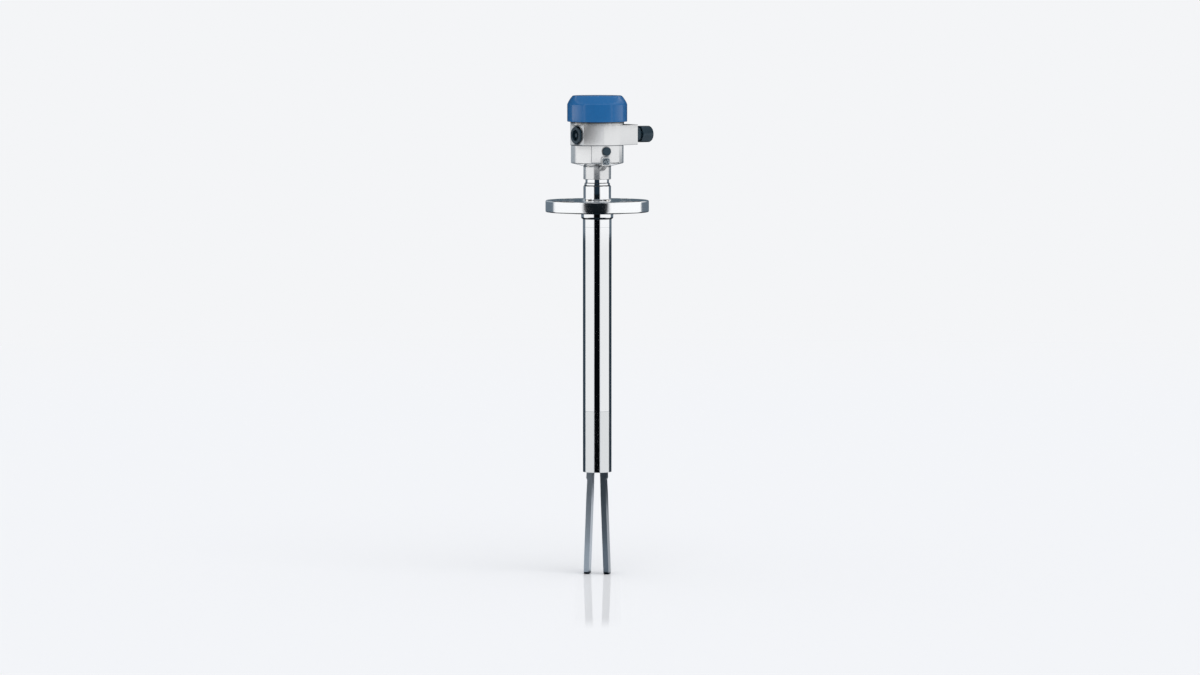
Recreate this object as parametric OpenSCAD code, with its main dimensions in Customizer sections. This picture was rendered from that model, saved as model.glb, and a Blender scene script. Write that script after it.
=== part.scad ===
// Tuning fork level switch with a tube extension and a pipe flange.
// The origin is the centre of the flange's sealing face, +Z runs up the probe to the head,
// and -Y is the front. Azimuth 0 is the front and grows towards +X.

/* [Process flange] */
// Outer diameter of the flange
flange_d = 152.4; // [140:0.1:180]
// Thickness of the flange above its raised face
flange_t = 17.5; // [14:0.1:25]
// Diameter of the raised sealing face
face_d = 92.1; // [80:0.1:100]
// Height of the raised sealing face
face_h = 1.6; // [1:0.1:3]
// Diameter of the bolt circle
bolt_circle_d = 120.7; // [118:0.1:128]
// Diameter of a bolt hole
bolt_hole_d = 19; // [14:0.1:20]
// Number of bolt holes
bolt_count = 4; // [4:4:8]
// Rounding of the rim's edges
rim_round = 1.8; // [0.5:0.1:4]

/* [Process fitting] */
// Diameter of the stub above the flange
stub_d = 40.8; // [38:0.1:44]
// Height of the stub above the flange
stub_h = 21.1; // [15:0.1:40]
// Diameter of the bore through the fitting
fitting_bore_d = 30.6; // [26:0.1:32]
// Diameter of the collar under the sealing face
collar_d = 47.5; // [45:0.1:60]
// Height of the collar
collar_h = 8.9; // [6:0.1:20]
// Depth of the recess in the sealing face that the collar stands in
recess_h = 0.5; // [0.3:0.1:1]
// Gap on a radius round the collar in that recess
recess_gap = 0.4; // [0.3:0.1:1]
// Rounding of the collar's lower edge
collar_round = 3.2; // [1:0.1:4]
// Length of the tube stub below the collar, down to the tube's weld
tube_stub_l = 11.5; // [6:0.1:30]
// Depth that a spigot reaches into the next tube
spigot_l = 8; // [4:0.1:15]
// Width of the weld bead on top of the flange
bead_w = 1.6; // [0.5:0.1:3]

/* [Probe tube] */
// Outer diameter of the tube and of the fork barrel
tube_d = 42.4; // [41:0.1:44]
// Wall thickness of the extension tube
tube_wall = 2.6; // [1.6:0.1:3]
// Length of the extension tube
tube_l = 271.6; // [100:0.1:600]
// Length of the fork barrel
barrel_l = 90; // [70:0.1:120]
// Bore of the fork barrel
barrel_bore_d = 33; // [31:0.1:34]
// Diameter of the diaphragm
diaphragm_d = 39.2; // [37:0.1:40]
// Thickness of the diaphragm
diaphragm_t = 1.6; // [1:0.1:2.5]

/* [Fork] */
// Length of a tine below the diaphragm
tine_l = 151; // [80:0.1:170]
// Width of a tine's blade
blade_w = 22; // [18:0.1:24]
// Width of a tine at its root
root_w = 17.6; // [14:0.1:20]
// Thickness of a tine
tine_t = 7.7; // [6:0.1:9]
// Distance from the axis to the middle of a tine at its root
root_offset = 9.3; // [8:0.1:10]
// Distance from the axis to the middle of a tine at its tip
tip_offset = 14.9; // [11:0.1:16]
// Height of the thick block at a tine's root
root_h = 9; // [5:0.1:15]
// How far the root block stands out from the tine
root_step = 1.4; // [0.5:0.1:2]
// Height of the slope under the root block
slope_h = 2.8; // [1:0.1:5]
// Height at which a tine reaches its full width, below the diaphragm
flare_end = 36; // [25:0.1:60]
// Corner cut at a tine's tip
tip_cut = 3; // [1:0.1:5]
// Diameter of the cylinder that the whole fork fits in
fork_d = 42.2; // [40:0.1:44]
// Angle of the fork about the probe's axis
fork_turn = -9.2; // [-45:0.1:45]

/* [Fork drive] */
// Outer diameter of the piezo discs
disc_d = 15; // [12:0.1:18]
// Thickness of a piezo disc
disc_t = 2; // [1:0.1:3]
// Number of piezo discs
disc_count = 4; // [2:1:6]
// Thickness of a contact plate
plate_t = 0.3; // [0.2:0.05:0.5]
// Reach of a contact plate's tab from the axis
tab_reach = 9; // [8.5:0.1:10]
// Thickness of an insulator ring
insulator_t = 1.5; // [1:0.1:3]
// Diameter of the tension stud
stud_d = 4.9; // [3:0.1:5]
// Height of the diaphragm's boss
boss_h = 6; // [4:0.1:8]
// Height of the pressure bridge under its plate
bridge_h = 9; // [7.5:0.1:12]
// Thickness of the pressure bridge's plate
bridge_t = 4; // [2:0.1:6]
// Thickness of the disc spring
spring_t = 1.2; // [0.8:0.1:2]
// Height of the drive nut
drive_nut_h = 4; // [3:0.1:6]
// Width of the drive nut across its flats
drive_nut_af = 8; // [7:0.1:10]
// Diameter of a drive lead
lead_d = 1.8; // [1:0.1:2]
// Thickness of a lead spacer
spacer_t = 5; // [3:0.1:10]
// Number of lead spacers
spacer_count = 2; // [1:1:4]

/* [Swivel adapter] */
// Diameter of the adapter's visible ring
ring_d = 37.7; // [36:0.1:42]
// Height of the visible ring
ring_h = 4.3; // [2:0.1:8]
// Diameter of the sleeve that the housing turns on
sleeve_d = 34.7; // [33:0.1:36]
// Length of sleeve that shows under the housing
sleeve_show = 5.3; // [2:0.1:10]
// Diameter of the adapter's upper end
adapter_top_d = 30.1; // [28:0.1:31]
// Bore of the adapter
adapter_bore_d = 24; // [23:0.1:25]
// Thickness of the swivel seal's cord
seal_cord = 2; // [1.5:0.1:2.4]
// Thickness of the retaining ring
clip_t = 1.2; // [0.8:0.1:2]
// Depth of the retaining ring's groove
clip_depth = 1.2; // [0.8:0.1:1.5]
// Outer diameter of the retaining ring
clip_d = 35; // [33:0.1:38]
// Thickness of the feedthrough
feedthrough_t = 6; // [4:0.1:10]
// Diameter of the centre contact
contact_d = 3; // [2:0.1:3.6]
// Depth that the adapter reaches into the process fitting
adapter_spigot_l = 10; // [6:0.1:15]
// Height of the adapter above its retaining ring
adapter_lip = 2.6; // [1.5:0.1:3]
// Height of the swivel seal's groove above the housing's lower edge
groove_rise = 5.2; // [3:0.1:6]
// Height of the feedthrough above the housing's lower edge
feedthrough_rise = 10.2; // [8:0.1:12]

/* [Housing] */
// Diameter of the housing's neck
neck_d = 40.8; // [39:0.1:46]
// Height of the neck
neck_h = 19.9; // [15:0.1:30]
// Height of the cone between neck and cup
cone_h = 4.1; // [2:0.1:8]
// Diameter of the cup
cup_d = 77.6; // [75:0.1:80]
// Height of the cup below the arm
cup_h = 26.5; // [24:0.1:40]
// How far the round part of the band stands out from the cup
band_step = 0.8; // [0.8:0.1:1.5]
// Height of the band and its arm
band_h = 29.5; // [28:0.1:36]
// Diameter of the collar between the band and the lid
rim_collar_d = 79; // [78:0.1:79.2]
// Height of that collar that shows under the lid
rim_collar_show = 5; // [3:0.1:8]
// Wall thickness at the threaded rim
rim_wall = 5.4; // [4:0.1:6]
// Height of the threaded rim above the lid's lower edge
rim_h = 23; // [20:0.1:26]
// Height of the cup's inner floor above its lower edge
floor_rise = 6.2; // [5.5:0.1:8]
// Thickness of the cup's floor at the swivel
floor_t = 5; // [4:0.1:5.4]
// Height of the raised pad's surface above the cup
pad_step = 0.5; // [0.3:0.1:0.7]
// Azimuth at which the raised pad starts
pad_from = -12; // [-30:1:0]
// Azimuth at which the raised pad ends
pad_to = 55; // [40:1:70]

/* [Arm and ports] */
// Turn of the cable arm from +X
arm_turn = 34; // [0:1:60]
// Distance from the axis to the arm's end face
arm_reach = 62; // [56:0.1:75]
// Width of the arm at its end
arm_w = 30; // [29:0.1:40]
// Depth of the flat for the plug, in from the cup's outline
flat_depth = 3.3; // [2:0.1:4]
// Diameter of both cable ports
port_d = 20; // [18:0.1:21]
// Length of the gland's port
port_l = 12; // [8:0.1:15]
// Length of the plug's port
plug_port_l = 8.5; // [7:0.1:10]
// Diameter of the boss behind the plug's port
port_boss_d = 27; // [25:0.1:28]
// Diameter of the cable channel in the arm
channel_d = 22; // [20:0.1:24]

/* [Lid] */
// Gap on a radius between the lid and the collar that it closes over
lid_gap = 0.7; // [0.4:0.05:0.9]
// Thickness of the lid's wall round that collar
lid_wall = 3.95; // [3:0.05:6]
// Outer diameter of the lid
lid_d = rim_collar_d + 2 * (lid_gap + lid_wall);
// Height of the lid
lid_h = 38.2; // [36:0.1:45]
// Diameter of the lid's flat top
lid_top_d = 71; // [60:0.1:76]
// Height of the lid's rounded shoulder
lid_shoulder_h = 13.2; // [8:0.1:16]
// Fullness of the shoulder: 1 is a plain cone and 2 a quarter ellipse
lid_fullness = 1.25; // [1.1:0.05:2]
// Thickness of the lid's top
lid_top_t = 4; // [3:0.1:5]
// Height of the lid seal's seat above the lid's lower edge
seal_seat_rise = 2.2; // [1.5:0.1:3]
// Thickness of the lid seal's cord
lid_seal_cord = 1.7; // [1:0.1:1.9]

/* [Cable gland] */
// Width of the gland's hexagons across their flats
gland_af = 24; // [22:0.1:26]
// Thickness of the gland body's collar
gland_collar_t = 6; // [4:0.1:8]
// Gap between collar and nut
gland_gap = 4.3; // [2:0.1:6]
// Length of the gland nut
gland_nut_l = 20.5; // [18:0.1:26]
// Length of the hexagon on the gland nut
gland_hex_l = 12.5; // [8:0.1:14]
// Diameter of the gland nut's outer end
gland_end_d = 18.5; // [17:0.1:20]
// Length of the gland's threaded spigot
gland_spigot_l = 10; // [9:0.1:12]
// Depth of the gland's thread
thread_depth = 1.2; // [0.8:0.1:1.4]
// Length of the clamping cage
cage_l = 6.8; // [6:0.1:7.5]
// Length of the cage's solid end, below its slots
cage_root_l = 2.2; // [1.5:0.1:3]
// Bore of the rubber insert, for the cable
cable_d = 9; // [6:0.1:10]
// Outer diameter of the rubber insert
insert_d = 15; // [14:0.1:15.2]
// Number of fingers of the clamping cage
finger_count = 10; // [6:1:12]
// Thickness of the flat seal under the gland
flat_seal_t = 1.2; // [0.6:0.1:1.5]

/* [Blanking plug] */
// Thickness of the flat seal under the plug
plug_seal_t = 0.7; // [0.5:0.1:1.5]
// Thickness of the plug's head
plug_head_t = 2.6; // [2:0.1:6]
// Diameter that the head's corners are rounded to
plug_head_d = 26.4; // [25:0.1:28]
// Diameter of the recess in the head
plug_recess_d = 16; // [10:0.1:17]
// Depth of the recess
plug_recess_h = 5; // [2:0.1:6]

/* [Vent and ground terminal] */
// Azimuth of the vent
vent_azimuth = 20; // [10:1:30]
// Height of the vent's centre under the arm
vent_drop = 8.3; // [8:0.1:9]
// Diameter of the vent cap
vent_d = 12.6; // [9:0.1:14]
// Height of the vent cap
vent_h = 3.2; // [2:0.1:5]
// Azimuth of the ground terminal
ground_azimuth = 18; // [10:1:30]
// Height of the ground screw above the cup's lower edge
ground_rise = 3.4; // [2:0.1:4]
// Width of the ground boss
ground_w = 13; // [12:0.1:15]
// Height of the ground boss
ground_h = 12.4; // [11:0.1:14]
// How far the ground boss stands out from the cup
ground_step = 3; // [2:0.1:5]
// Length of ground boss rib down the neck
ground_rib_h = 7.5; // [4:0.1:12]
// Diameter of the ground screw's head
ground_head_d = 7.8; // [6:0.1:9]
// Height of the ground screw's head
ground_head_h = 2.8; // [2:0.1:4]
// Diameter of the ground screw's thread
ground_screw_d = 4; // [3:0.1:4.5]
// Side of the square clamping washer
clamp_w = 9.6; // [9:0.1:11]
// Thickness of the square clamping washer
clamp_t = 1.4; // [1:0.1:2]
// Thickness of the spring washer
washer_t = 1; // [0.8:0.1:1.2]
// Depth of the ground screw's hole
ground_hole_l = 8; // [6:0.1:8.5]

/* [Electronics] */
// Height of the module's deck above the band
deck_rise = 0.2; // [0:0.1:2]
// Thickness of the module's deck
deck_t = 3; // [2:0.1:4]
// Gap round the module's deck
deck_gap = 1.5; // [0.5:0.1:2.5]
// Gap between the module's pot and the bosses of its screws
pot_gap = 1.4; // [0.5:0.1:3]
// Wall thickness of the pot
pot_wall = 2; // [1.5:0.1:3]
// Depth of the cut on the deck's side, where the cable comes in
deck_cut_depth = 11.5; // [11:0.1:13]
// Distance from a module screw to the deck's edge
module_screw_inset = 3.5; // [3.3:0.1:4.2]
// Diameter of the bosses that the module screws go into
module_boss_d = 9.2; // [8:0.1:10]
// Height of the raised control panel
panel_h = 5; // [4:0.1:8]
// Length of the control panel
panel_l = 44; // [40:0.1:46]
// Width of the control panel
panel_w = 17; // [14:0.1:18]
// Width of the terminal block
terminal_w = 13; // [11:0.1:14]
// Length of the terminal block
terminal_l = 41; // [38:0.1:44]
// Height of the terminal block
terminal_h = 13; // [11:0.1:14]
// Number of terminals
terminal_count = 5; // [3:1:6]
// Diameter of a terminal screw
terminal_screw_d = 4.6; // [3:0.1:5]
// Travel of the mode switch
switch_travel = 4; // [2:0.1:4]
// Diameter of the sensitivity dial
dial_d = 8; // [6:0.1:9]
// Diameter of the signal lamp
lamp_d = 5; // [3:0.1:5]
// Spacing of the controls on the panel
control_pitch = 13; // [12:0.1:14]
// Gap between the circuit board's edges and the pot
board_gap = 1.2; // [0.5:0.1:4]
// Thickness of the circuit board
board_t = 1.6; // [1:0.1:2]
// Distance from the axis to the board's face
board_offset = 4; // [3:0.1:5]
// Gap between the cup's floor and the module's base
module_rise = 4.5; // [3:0.1:6]
// Thickness of the module's base
module_base_t = 2; // [1.5:0.1:3]
// Diameter of a module screw
module_screw_d = 3.4; // [2.5:0.1:3.6]
// Length of a module screw under its head
module_screw_l = 9; // [7:0.1:11]
// Width of the relay across the board
relay_w = 20; // [12:0.1:24]
// Height of the relay
relay_h = 18; // [10:0.1:22]
// How far the relay stands off the board
relay_t = 15; // [8:0.1:15.5]
// Height of the relay above the module's base
relay_rise = 12; // [4:0.1:14]
// Distance from the axis to the middle of the control panel
panel_offset = 10; // [9.5:0.1:11]
// Depth that the controls sit in the panel
control_depth = 3; // [2:0.1:4]
// Length of the mode switch
switch_l = 5; // [4:0.1:5.5]
// Width of the mode switch
switch_w = 4.4; // [3.5:0.1:5]
// Distance from the cavity's wall to the inner ground screw
inner_ground_inset = 3; // [2.5:0.1:3.5]
// Turn of the inner ground screw from the arm
inner_ground_turn = 38; // [36:1:40]
// Height of the inner ground screw's boss above the deck
inner_ground_rise = 8; // [6:0.1:9]
// Diameter of the inner ground screw
inner_screw_d = 3; // [2.5:0.1:3.2]

/* [Fits] */
// Gap on a radius between parts that are welded or pressed together
weld_gap = 0.05; // [0.02:0.01:0.1]
// Gap on a radius where one part turns in another
running_gap = 0.05; // [0.02:0.01:0.1]
// Gap between parts that move past each other without touching
free_gap = 0.35; // [0.3:0.05:0.5]
// Gap on a radius in a screw thread, drawn as plain cylinders
thread_gap = 0.1; // [0.05:0.01:0.2]

/* [Hidden] */
$fn = 96;
cut = 1;

// Heights along the probe's axis
flange_top = face_h + flange_t;
stub_top = flange_top + stub_h;
ring_top = stub_top + ring_h;
neck_bottom = ring_top + sleeve_show;
neck_top = neck_bottom + neck_h;
cup_bottom = neck_top + cone_h;
band_bottom = cup_bottom + cup_h;
band_top = band_bottom + band_h;
lid_bottom = band_top + rim_collar_show;
rim_top = lid_bottom + rim_h;
cup_floor = cup_bottom + floor_rise;
swivel_shoulder = cup_floor - floor_t;
seal_seat = lid_bottom + seal_seat_rise;
port_z = (band_bottom + band_top) / 2;
vent_z = band_bottom - vent_drop;
ground_z = cup_bottom + ground_rise;
tube_top = -collar_h - tube_stub_l;
tube_bottom = tube_top - tube_l;
barrel_bottom = tube_bottom - barrel_l;
diaphragm_top = barrel_bottom + diaphragm_t;
deck_bottom = band_top + deck_rise;
deck_top = deck_bottom + deck_t;
panel_top = deck_top + panel_h;
controls_z = panel_top - control_depth;
module_base_bottom = cup_floor + module_rise;
module_base_top = module_base_bottom + module_base_t;
inner_ground_z = deck_top + inner_ground_rise;

// Heights in the swivel adapter
seal_groove_z = neck_bottom + groove_rise;
seal_groove_h = seal_cord + 1;
clip_z = cup_floor + 0.1;
adapter_top = clip_z + clip_t + adapter_lip;
feedthrough_bottom = neck_bottom + feedthrough_rise;
feedthrough_top = feedthrough_bottom + feedthrough_t;

// Radii that several parts share
tube_r = tube_d / 2;
spigot_r = tube_r - tube_wall - weld_gap;
stub_r = stub_d / 2;
adapter_bore_r = adapter_bore_d / 2;
cup_r = cup_d / 2;
band_r = cup_r + band_step;
pad_r = cup_r + pad_step;
plug_flat = cup_r - flat_depth;
rim_collar_r = rim_collar_d / 2;
lid_bore_r = rim_collar_r + lid_gap;
rim_r = lid_bore_r - 2 * running_gap - lid_seal_cord;
cavity_r = rim_r - rim_wall;
vent_face = pad_r + 0.4;
vent_stem_r = vent_d / 2 - 1.4;
ground_face = cup_r + ground_step;
ground_hole_r = ground_screw_d / 2 + thread_gap;
module_hole_r = module_screw_d / 2 + thread_gap;
inner_ground_r = cavity_r - inner_ground_inset;
port_r = port_d / 2;
port_shank_r = port_r - thread_gap - 0.8;
insert_r = insert_d / 2;
stud_r = stud_d / 2;
lead_r = lead_d / 2;
deck_r = cavity_r - deck_gap;
deck_cut = deck_r - deck_cut_depth;
module_screw_r = deck_r - module_screw_inset;
pot_r = module_screw_r - module_boss_d / 2 - pot_gap;

// Drive stack, from the pressure bridge up
bridge_top = diaphragm_top + bridge_h + bridge_t;
stack_start = bridge_top + insulator_t;
stack_pitch = disc_t + plate_t;
stack_end = stack_start + disc_count * stack_pitch + plate_t;
spring_bottom = stack_end + insulator_t;
drive_nut_bottom = spring_bottom + spring_t;
lead_offset = tab_reach + lead_r + weld_gap;

// Places along the gland's axis, counted from the arm's end face
collar_start = flat_seal_t;
collar_end = collar_start + gland_collar_t;
spigot_end = collar_end + gland_spigot_l;
spigot_out = port_r - 1;
nut_start = collar_end + gland_gap;
nut_end = nut_start + gland_nut_l;
insert_start = collar_end + 1;
insert_end = spigot_end + 2.6;

// Places on the module, along the arm and across it
pot_cut = deck_cut - 3;
terminal_x = deck_cut - terminal_w / 2 - 1;
terminal_pitch = (terminal_l - 3) / terminal_count;
terminal_screw_x = terminal_x - terminal_w * 0.15;
terminal_screw_seat = 5;
switch_slot_l = switch_l + switch_travel + 2 * free_gap;

// Place of a terminal along its block
function terminal_y(i) = (i - (terminal_count - 1) / 2) * terminal_pitch;

// Points of a circular arc in a plane
function arc(cx, cy, r, from, to, steps = 6) =
    [for (i = [0:steps]) let (a = from + (to - from) * i / steps) [cx + r * cos(a), cy + r * sin(a)]];

// Solid of revolution about Z from a profile of [radius, height] points
module turned(points) {
    rotate_extrude()
        polygon(points);
}

// Straight ring or tube between two heights
module tube(r_out, r_in, from, to) {
    translate([0, 0, from])
        difference() {
            cylinder(r = r_out, h = to - from);
            translate([0, 0, -cut])
                cylinder(r = r_in, h = to - from + 2 * cut);
        }
}

// Straight rod between two heights
module rod(r, from, to) {
    translate([0, 0, from])
        cylinder(r = r, h = to - from);
}

// Rectangle with round corners, centred
module round_rect(w, h, r) {
    square([w - 2 * r, h], center = true);
    square([w, h - 2 * r], center = true);
    for (x = [-1, 1], y = [-1, 1])
        translate([x * (w / 2 - r), y * (h / 2 - r)])
            circle(r = r);
}

// Hexagonal bar with its corners rounded off
module hex_bar(af, corner_d, h) {
    intersection() {
        cylinder(d = af / cos(30), h = h, $fn = 6);
        cylinder(d = corner_d, h = h);
    }
}

// Places children on the housing's side, their +Z pointing straight out
module on_side(azimuth, r, z) {
    rotate([0, 0, azimuth])
        translate([0, -r, z])
            rotate([90, 0, 0])
                children();
}

// Places children along the gland's axis, their +Z pointing out of the arm
module on_arm(x) {
    rotate([0, 0, arm_turn])
        translate([x, 0, port_z])
            rotate([0, 90, 0])
                children();
}

// Places children along the plug's axis, their +Z pointing out of the plug's flat
module on_plug(x) {
    rotate([0, 0, arm_turn + 180])
        translate([x, 0, port_z])
            rotate([0, 90, 0])
                children();
}

// Process flange: a plate turned with a raised face, with round rim edges
module process_flange() {
    face_r = face_d / 2;
    recess_r = collar_d / 2 + recess_gap;
    rim_in = flange_d / 2 - rim_round;
    color("gainsboro")
        difference() {
            turned(concat(
                [[stub_r + weld_gap, recess_h], [recess_r, recess_h], [recess_r, 0]],
                [[face_r - 0.4, 0], [face_r, 0.4], [face_r, face_h]],
                arc(rim_in, face_h + rim_round, rim_round, -90, 0),
                arc(rim_in, flange_top - rim_round, rim_round, 0, 90),
                [[stub_r + weld_gap, flange_top]]
            ));
            for (i = [0:bolt_count - 1])
                rotate([0, 0, (i + 0.5) * 360 / bolt_count])
                    translate([bolt_circle_d / 2, 0, 0])
                        rod(bolt_hole_d / 2, face_h - cut, flange_top + cut);
        }
}

// Process fitting: stub, shank, collar and tube stub, turned in one piece
module process_fitting() {
    collar_in = collar_d / 2 - collar_round;
    color("whitesmoke")
        turned(concat(
            [
                [fitting_bore_d / 2, stub_top],
                [fitting_bore_d / 2, tube_top - spigot_l],
                [spigot_r, tube_top - spigot_l],
                [spigot_r, tube_top],
                [tube_r, tube_top],
                [tube_r, -collar_h]
            ],
            arc(collar_in, -collar_h + collar_round, collar_round, -90, 0),
            [
                [collar_d / 2, recess_h],
                [stub_r, recess_h],
                [stub_r, flange_top],
                [stub_r + bead_w, flange_top],
                [stub_r + bead_w * 0.7, flange_top + bead_w * 0.6],
                [stub_r, flange_top + bead_w],
                [stub_r, stub_top - 0.5],
                [stub_r - 0.5, stub_top]
            ]
        ));
}

// Extension tube: polished pipe, butt welded under the collar
module extension_tube() {
    color("white")
        tube(tube_r, tube_r - tube_wall, tube_bottom, tube_top);
}

// Fork barrel: carries the diaphragm and encloses the drive
module fork_barrel() {
    color("silver")
        turned([
            [barrel_bore_d / 2, tube_bottom + spigot_l],
            [barrel_bore_d / 2, diaphragm_top],
            [diaphragm_d / 2 + weld_gap, diaphragm_top],
            [diaphragm_d / 2 + weld_gap, barrel_bottom],
            [tube_r - 0.4, barrel_bottom],
            [tube_r, barrel_bottom + 0.4],
            [tube_r, tube_bottom],
            [spigot_r, tube_bottom],
            [spigot_r, tube_bottom + spigot_l]
        ]);
}

// Diaphragm with the boss that the tension stud screws into
module diaphragm() {
    boss_r = stud_r + 2;
    stud_hole_h = boss_h - 1;
    color("gainsboro")
        difference() {
            turned([
                [0, barrel_bottom],
                [diaphragm_d / 2, barrel_bottom],
                [diaphragm_d / 2, diaphragm_top],
                [boss_r + 1, diaphragm_top],
                [boss_r, diaphragm_top + 1],
                [boss_r, diaphragm_top + boss_h],
                [0, diaphragm_top + boss_h]
            ]);
            rod(stud_r + weld_gap, diaphragm_top + boss_h - stud_hole_h, diaphragm_top + boss_h + cut);
        }
}

// One tine, on the +X side, from its side profile and its front outline
module tine() {
    half_t = tine_t / 2;
    lean = (tip_offset - root_offset) / tine_l;
    root_z = -root_h;
    slope_z = -root_h - slope_h;
    side = [
        [root_offset - half_t, 0],
        [root_offset + half_t + root_step, 0],
        [root_offset + half_t + root_step - lean * root_z, root_z],
        [root_offset + half_t - lean * slope_z, slope_z],
        [tip_offset + half_t, -tine_l],
        [tip_offset - half_t, -tine_l]
    ];
    front = [
        [-root_w / 2, 0],
        [root_w / 2, 0],
        [root_w / 2, slope_z],
        [blade_w / 2, -flare_end],
        [blade_w / 2, tip_cut - tine_l],
        [blade_w / 2 - tip_cut, -tine_l],
        [tip_cut - blade_w / 2, -tine_l],
        [-blade_w / 2, tip_cut - tine_l],
        [-blade_w / 2, -flare_end],
        [-root_w / 2, slope_z]
    ];
    rotate([0, 0, fork_turn])
        translate([0, 0, barrel_bottom])
            intersection() {
                rotate([90, 0, 0])
                    linear_extrude(fork_d, center = true)
                        polygon(side);
                rotate([90, 0, 90])
                    linear_extrude(fork_d)
                        polygon(front);
                rod(fork_d / 2, -tine_l - cut, cut);
            }
}

// Left tine, seen from the front
module tine_left() {
    color("lightslategray")
        rotate([0, 0, 180])
            tine();
}

// Right tine, seen from the front
module tine_right() {
    color("lightslategray")
        tine();
}

// Pressure bridge: stands on the diaphragm's edge and carries the stack
module pressure_bridge() {
    foot_out = barrel_bore_d / 2 - weld_gap;
    foot_in = foot_out - 2.7;
    hole_r = stud_r + free_gap;
    color("darkgray")
        turned([
            [hole_r, diaphragm_top + bridge_h],
            [foot_in, diaphragm_top + bridge_h],
            [foot_in, diaphragm_top],
            [foot_out, diaphragm_top],
            [foot_out, bridge_top],
            [hole_r, bridge_top]
        ]);
}

// Tension stud: pulls the stack down onto the bridge
module drive_stud() {
    stud_bottom = diaphragm_top + 1;
    stud_top = drive_nut_bottom + drive_nut_h + 2;
    color("dimgray")
        rod(stud_r, stud_bottom, stud_top);
}

// Ring of the stack, round the stud
module stack_ring(bottom, t) {
    tube(disc_d / 2, stud_r + free_gap, bottom, bottom + t);
}

// Piezo discs
module piezo_discs() {
    color("ivory")
        for (i = [0:disc_count - 1])
            stack_ring(stack_start + plate_t + i * stack_pitch, disc_t);
}

// Contact plates, with tabs to the two leads in turn
module contact_plates() {
    tab_w = 3;
    color("goldenrod")
        for (i = [0:disc_count])
            translate([0, 0, stack_start + i * stack_pitch])
                rotate([0, 0, 180 * (i % 2)])
                    difference() {
                        union() {
                            cylinder(d = disc_d, h = plate_t);
                            translate([0, -tab_w / 2, 0])
                                cube([tab_reach, tab_w, plate_t]);
                        }
                        rod(stud_r + free_gap, -cut, plate_t + cut);
                    }
}

// Insulator rings at both ends of the stack
module insulator_rings() {
    color("white")
        for (z = [bridge_top, stack_end])
            stack_ring(z, insulator_t);
}

// Disc spring under the nut
module disc_spring() {
    spring_out = disc_d / 2 - 1;
    spring_in = stud_r + free_gap;
    sheet_t = spring_t * 0.6;
    color("slategray")
        turned([
            [spring_in, drive_nut_bottom],
            [spring_in, drive_nut_bottom - sheet_t],
            [spring_out, spring_bottom],
            [spring_out, spring_bottom + sheet_t]
        ]);
}

// Nut that holds the stack under load
module drive_nut() {
    color("dimgray")
        difference() {
            translate([0, 0, drive_nut_bottom])
                cylinder(d = drive_nut_af / cos(30), h = drive_nut_h, $fn = 6);
            rod(stud_r + weld_gap, drive_nut_bottom - cut, drive_nut_bottom + drive_nut_h + cut);
        }
}

// Two insulated leads, from the contact plates up to the feedthrough
module drive_leads() {
    color("firebrick")
        for (side = [-1, 1])
            translate([side * lead_offset, 0, 0])
                rod(lead_r, stack_start, feedthrough_bottom);
}

// Discs that keep the leads off the tube's wall
module lead_spacers() {
    spacer_r = tube_r - tube_wall - weld_gap;
    spacer_gap = tube_l / (spacer_count + 1);
    color("linen")
        for (i = [1:spacer_count])
            translate([0, 0, tube_bottom + i * spacer_gap])
                difference() {
                    cylinder(r = spacer_r, h = spacer_t);
                    for (side = [-1, 1])
                        translate([side * lead_offset, 0, 0])
                            rod(lead_r + weld_gap, -cut, spacer_t + cut);
                }
}

// Swivel adapter: pressed into the stub, with ring, sleeve, seal groove and clip groove
module swivel_adapter() {
    sleeve_r = sleeve_d / 2;
    top_r = adapter_top_d / 2;
    spigot_bottom = stub_top - adapter_spigot_l;
    groove_r = sleeve_r - seal_cord;
    color("whitesmoke")
        turned([
            [adapter_bore_r, spigot_bottom],
            [fitting_bore_d / 2 - weld_gap, spigot_bottom],
            [fitting_bore_d / 2 - weld_gap, stub_top],
            [ring_d / 2 - 0.4, stub_top],
            [ring_d / 2, stub_top + 0.4],
            [ring_d / 2, ring_top - 0.6],
            [ring_d / 2 - 0.6, ring_top],
            [sleeve_r, ring_top],
            [sleeve_r, seal_groove_z],
            [groove_r, seal_groove_z],
            [groove_r, seal_groove_z + seal_groove_h],
            [sleeve_r, seal_groove_z + seal_groove_h],
            [sleeve_r, swivel_shoulder],
            [top_r, swivel_shoulder],
            [top_r, clip_z],
            [top_r - clip_depth, clip_z],
            [top_r - clip_depth, clip_z + clip_t],
            [top_r, clip_z + clip_t],
            [top_r, adapter_top],
            [adapter_bore_r, adapter_top]
        ]);
}

// Seal ring between sleeve and housing
module swivel_seal() {
    seal_r = (sleeve_d - seal_cord) / 2;
    color("dimgray")
        translate([0, 0, seal_groove_z + seal_groove_h / 2])
            rotate_extrude()
                translate([seal_r, 0])
                    circle(d = seal_cord);
}

// Retaining ring: keeps the housing on the adapter
module retaining_ring() {
    clip_in = adapter_top_d / 2 - clip_depth + weld_gap;
    gap_w = 6;
    color("dimgray")
        difference() {
            tube(clip_d / 2, clip_in, clip_z, clip_z + clip_t);
            translate([0, -gap_w / 2, clip_z - cut])
                cube([clip_d, gap_w, clip_t + 2 * cut]);
        }
}

// Feedthrough: closes the adapter's bore under the electronics
module feedthrough() {
    color("teal")
        rod(adapter_bore_r - weld_gap, feedthrough_bottom, feedthrough_top);
}

// Centre contact, on top of the feedthrough
module centre_contact() {
    color("gold")
        rod(contact_d / 2, feedthrough_top, cup_floor);
}

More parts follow.
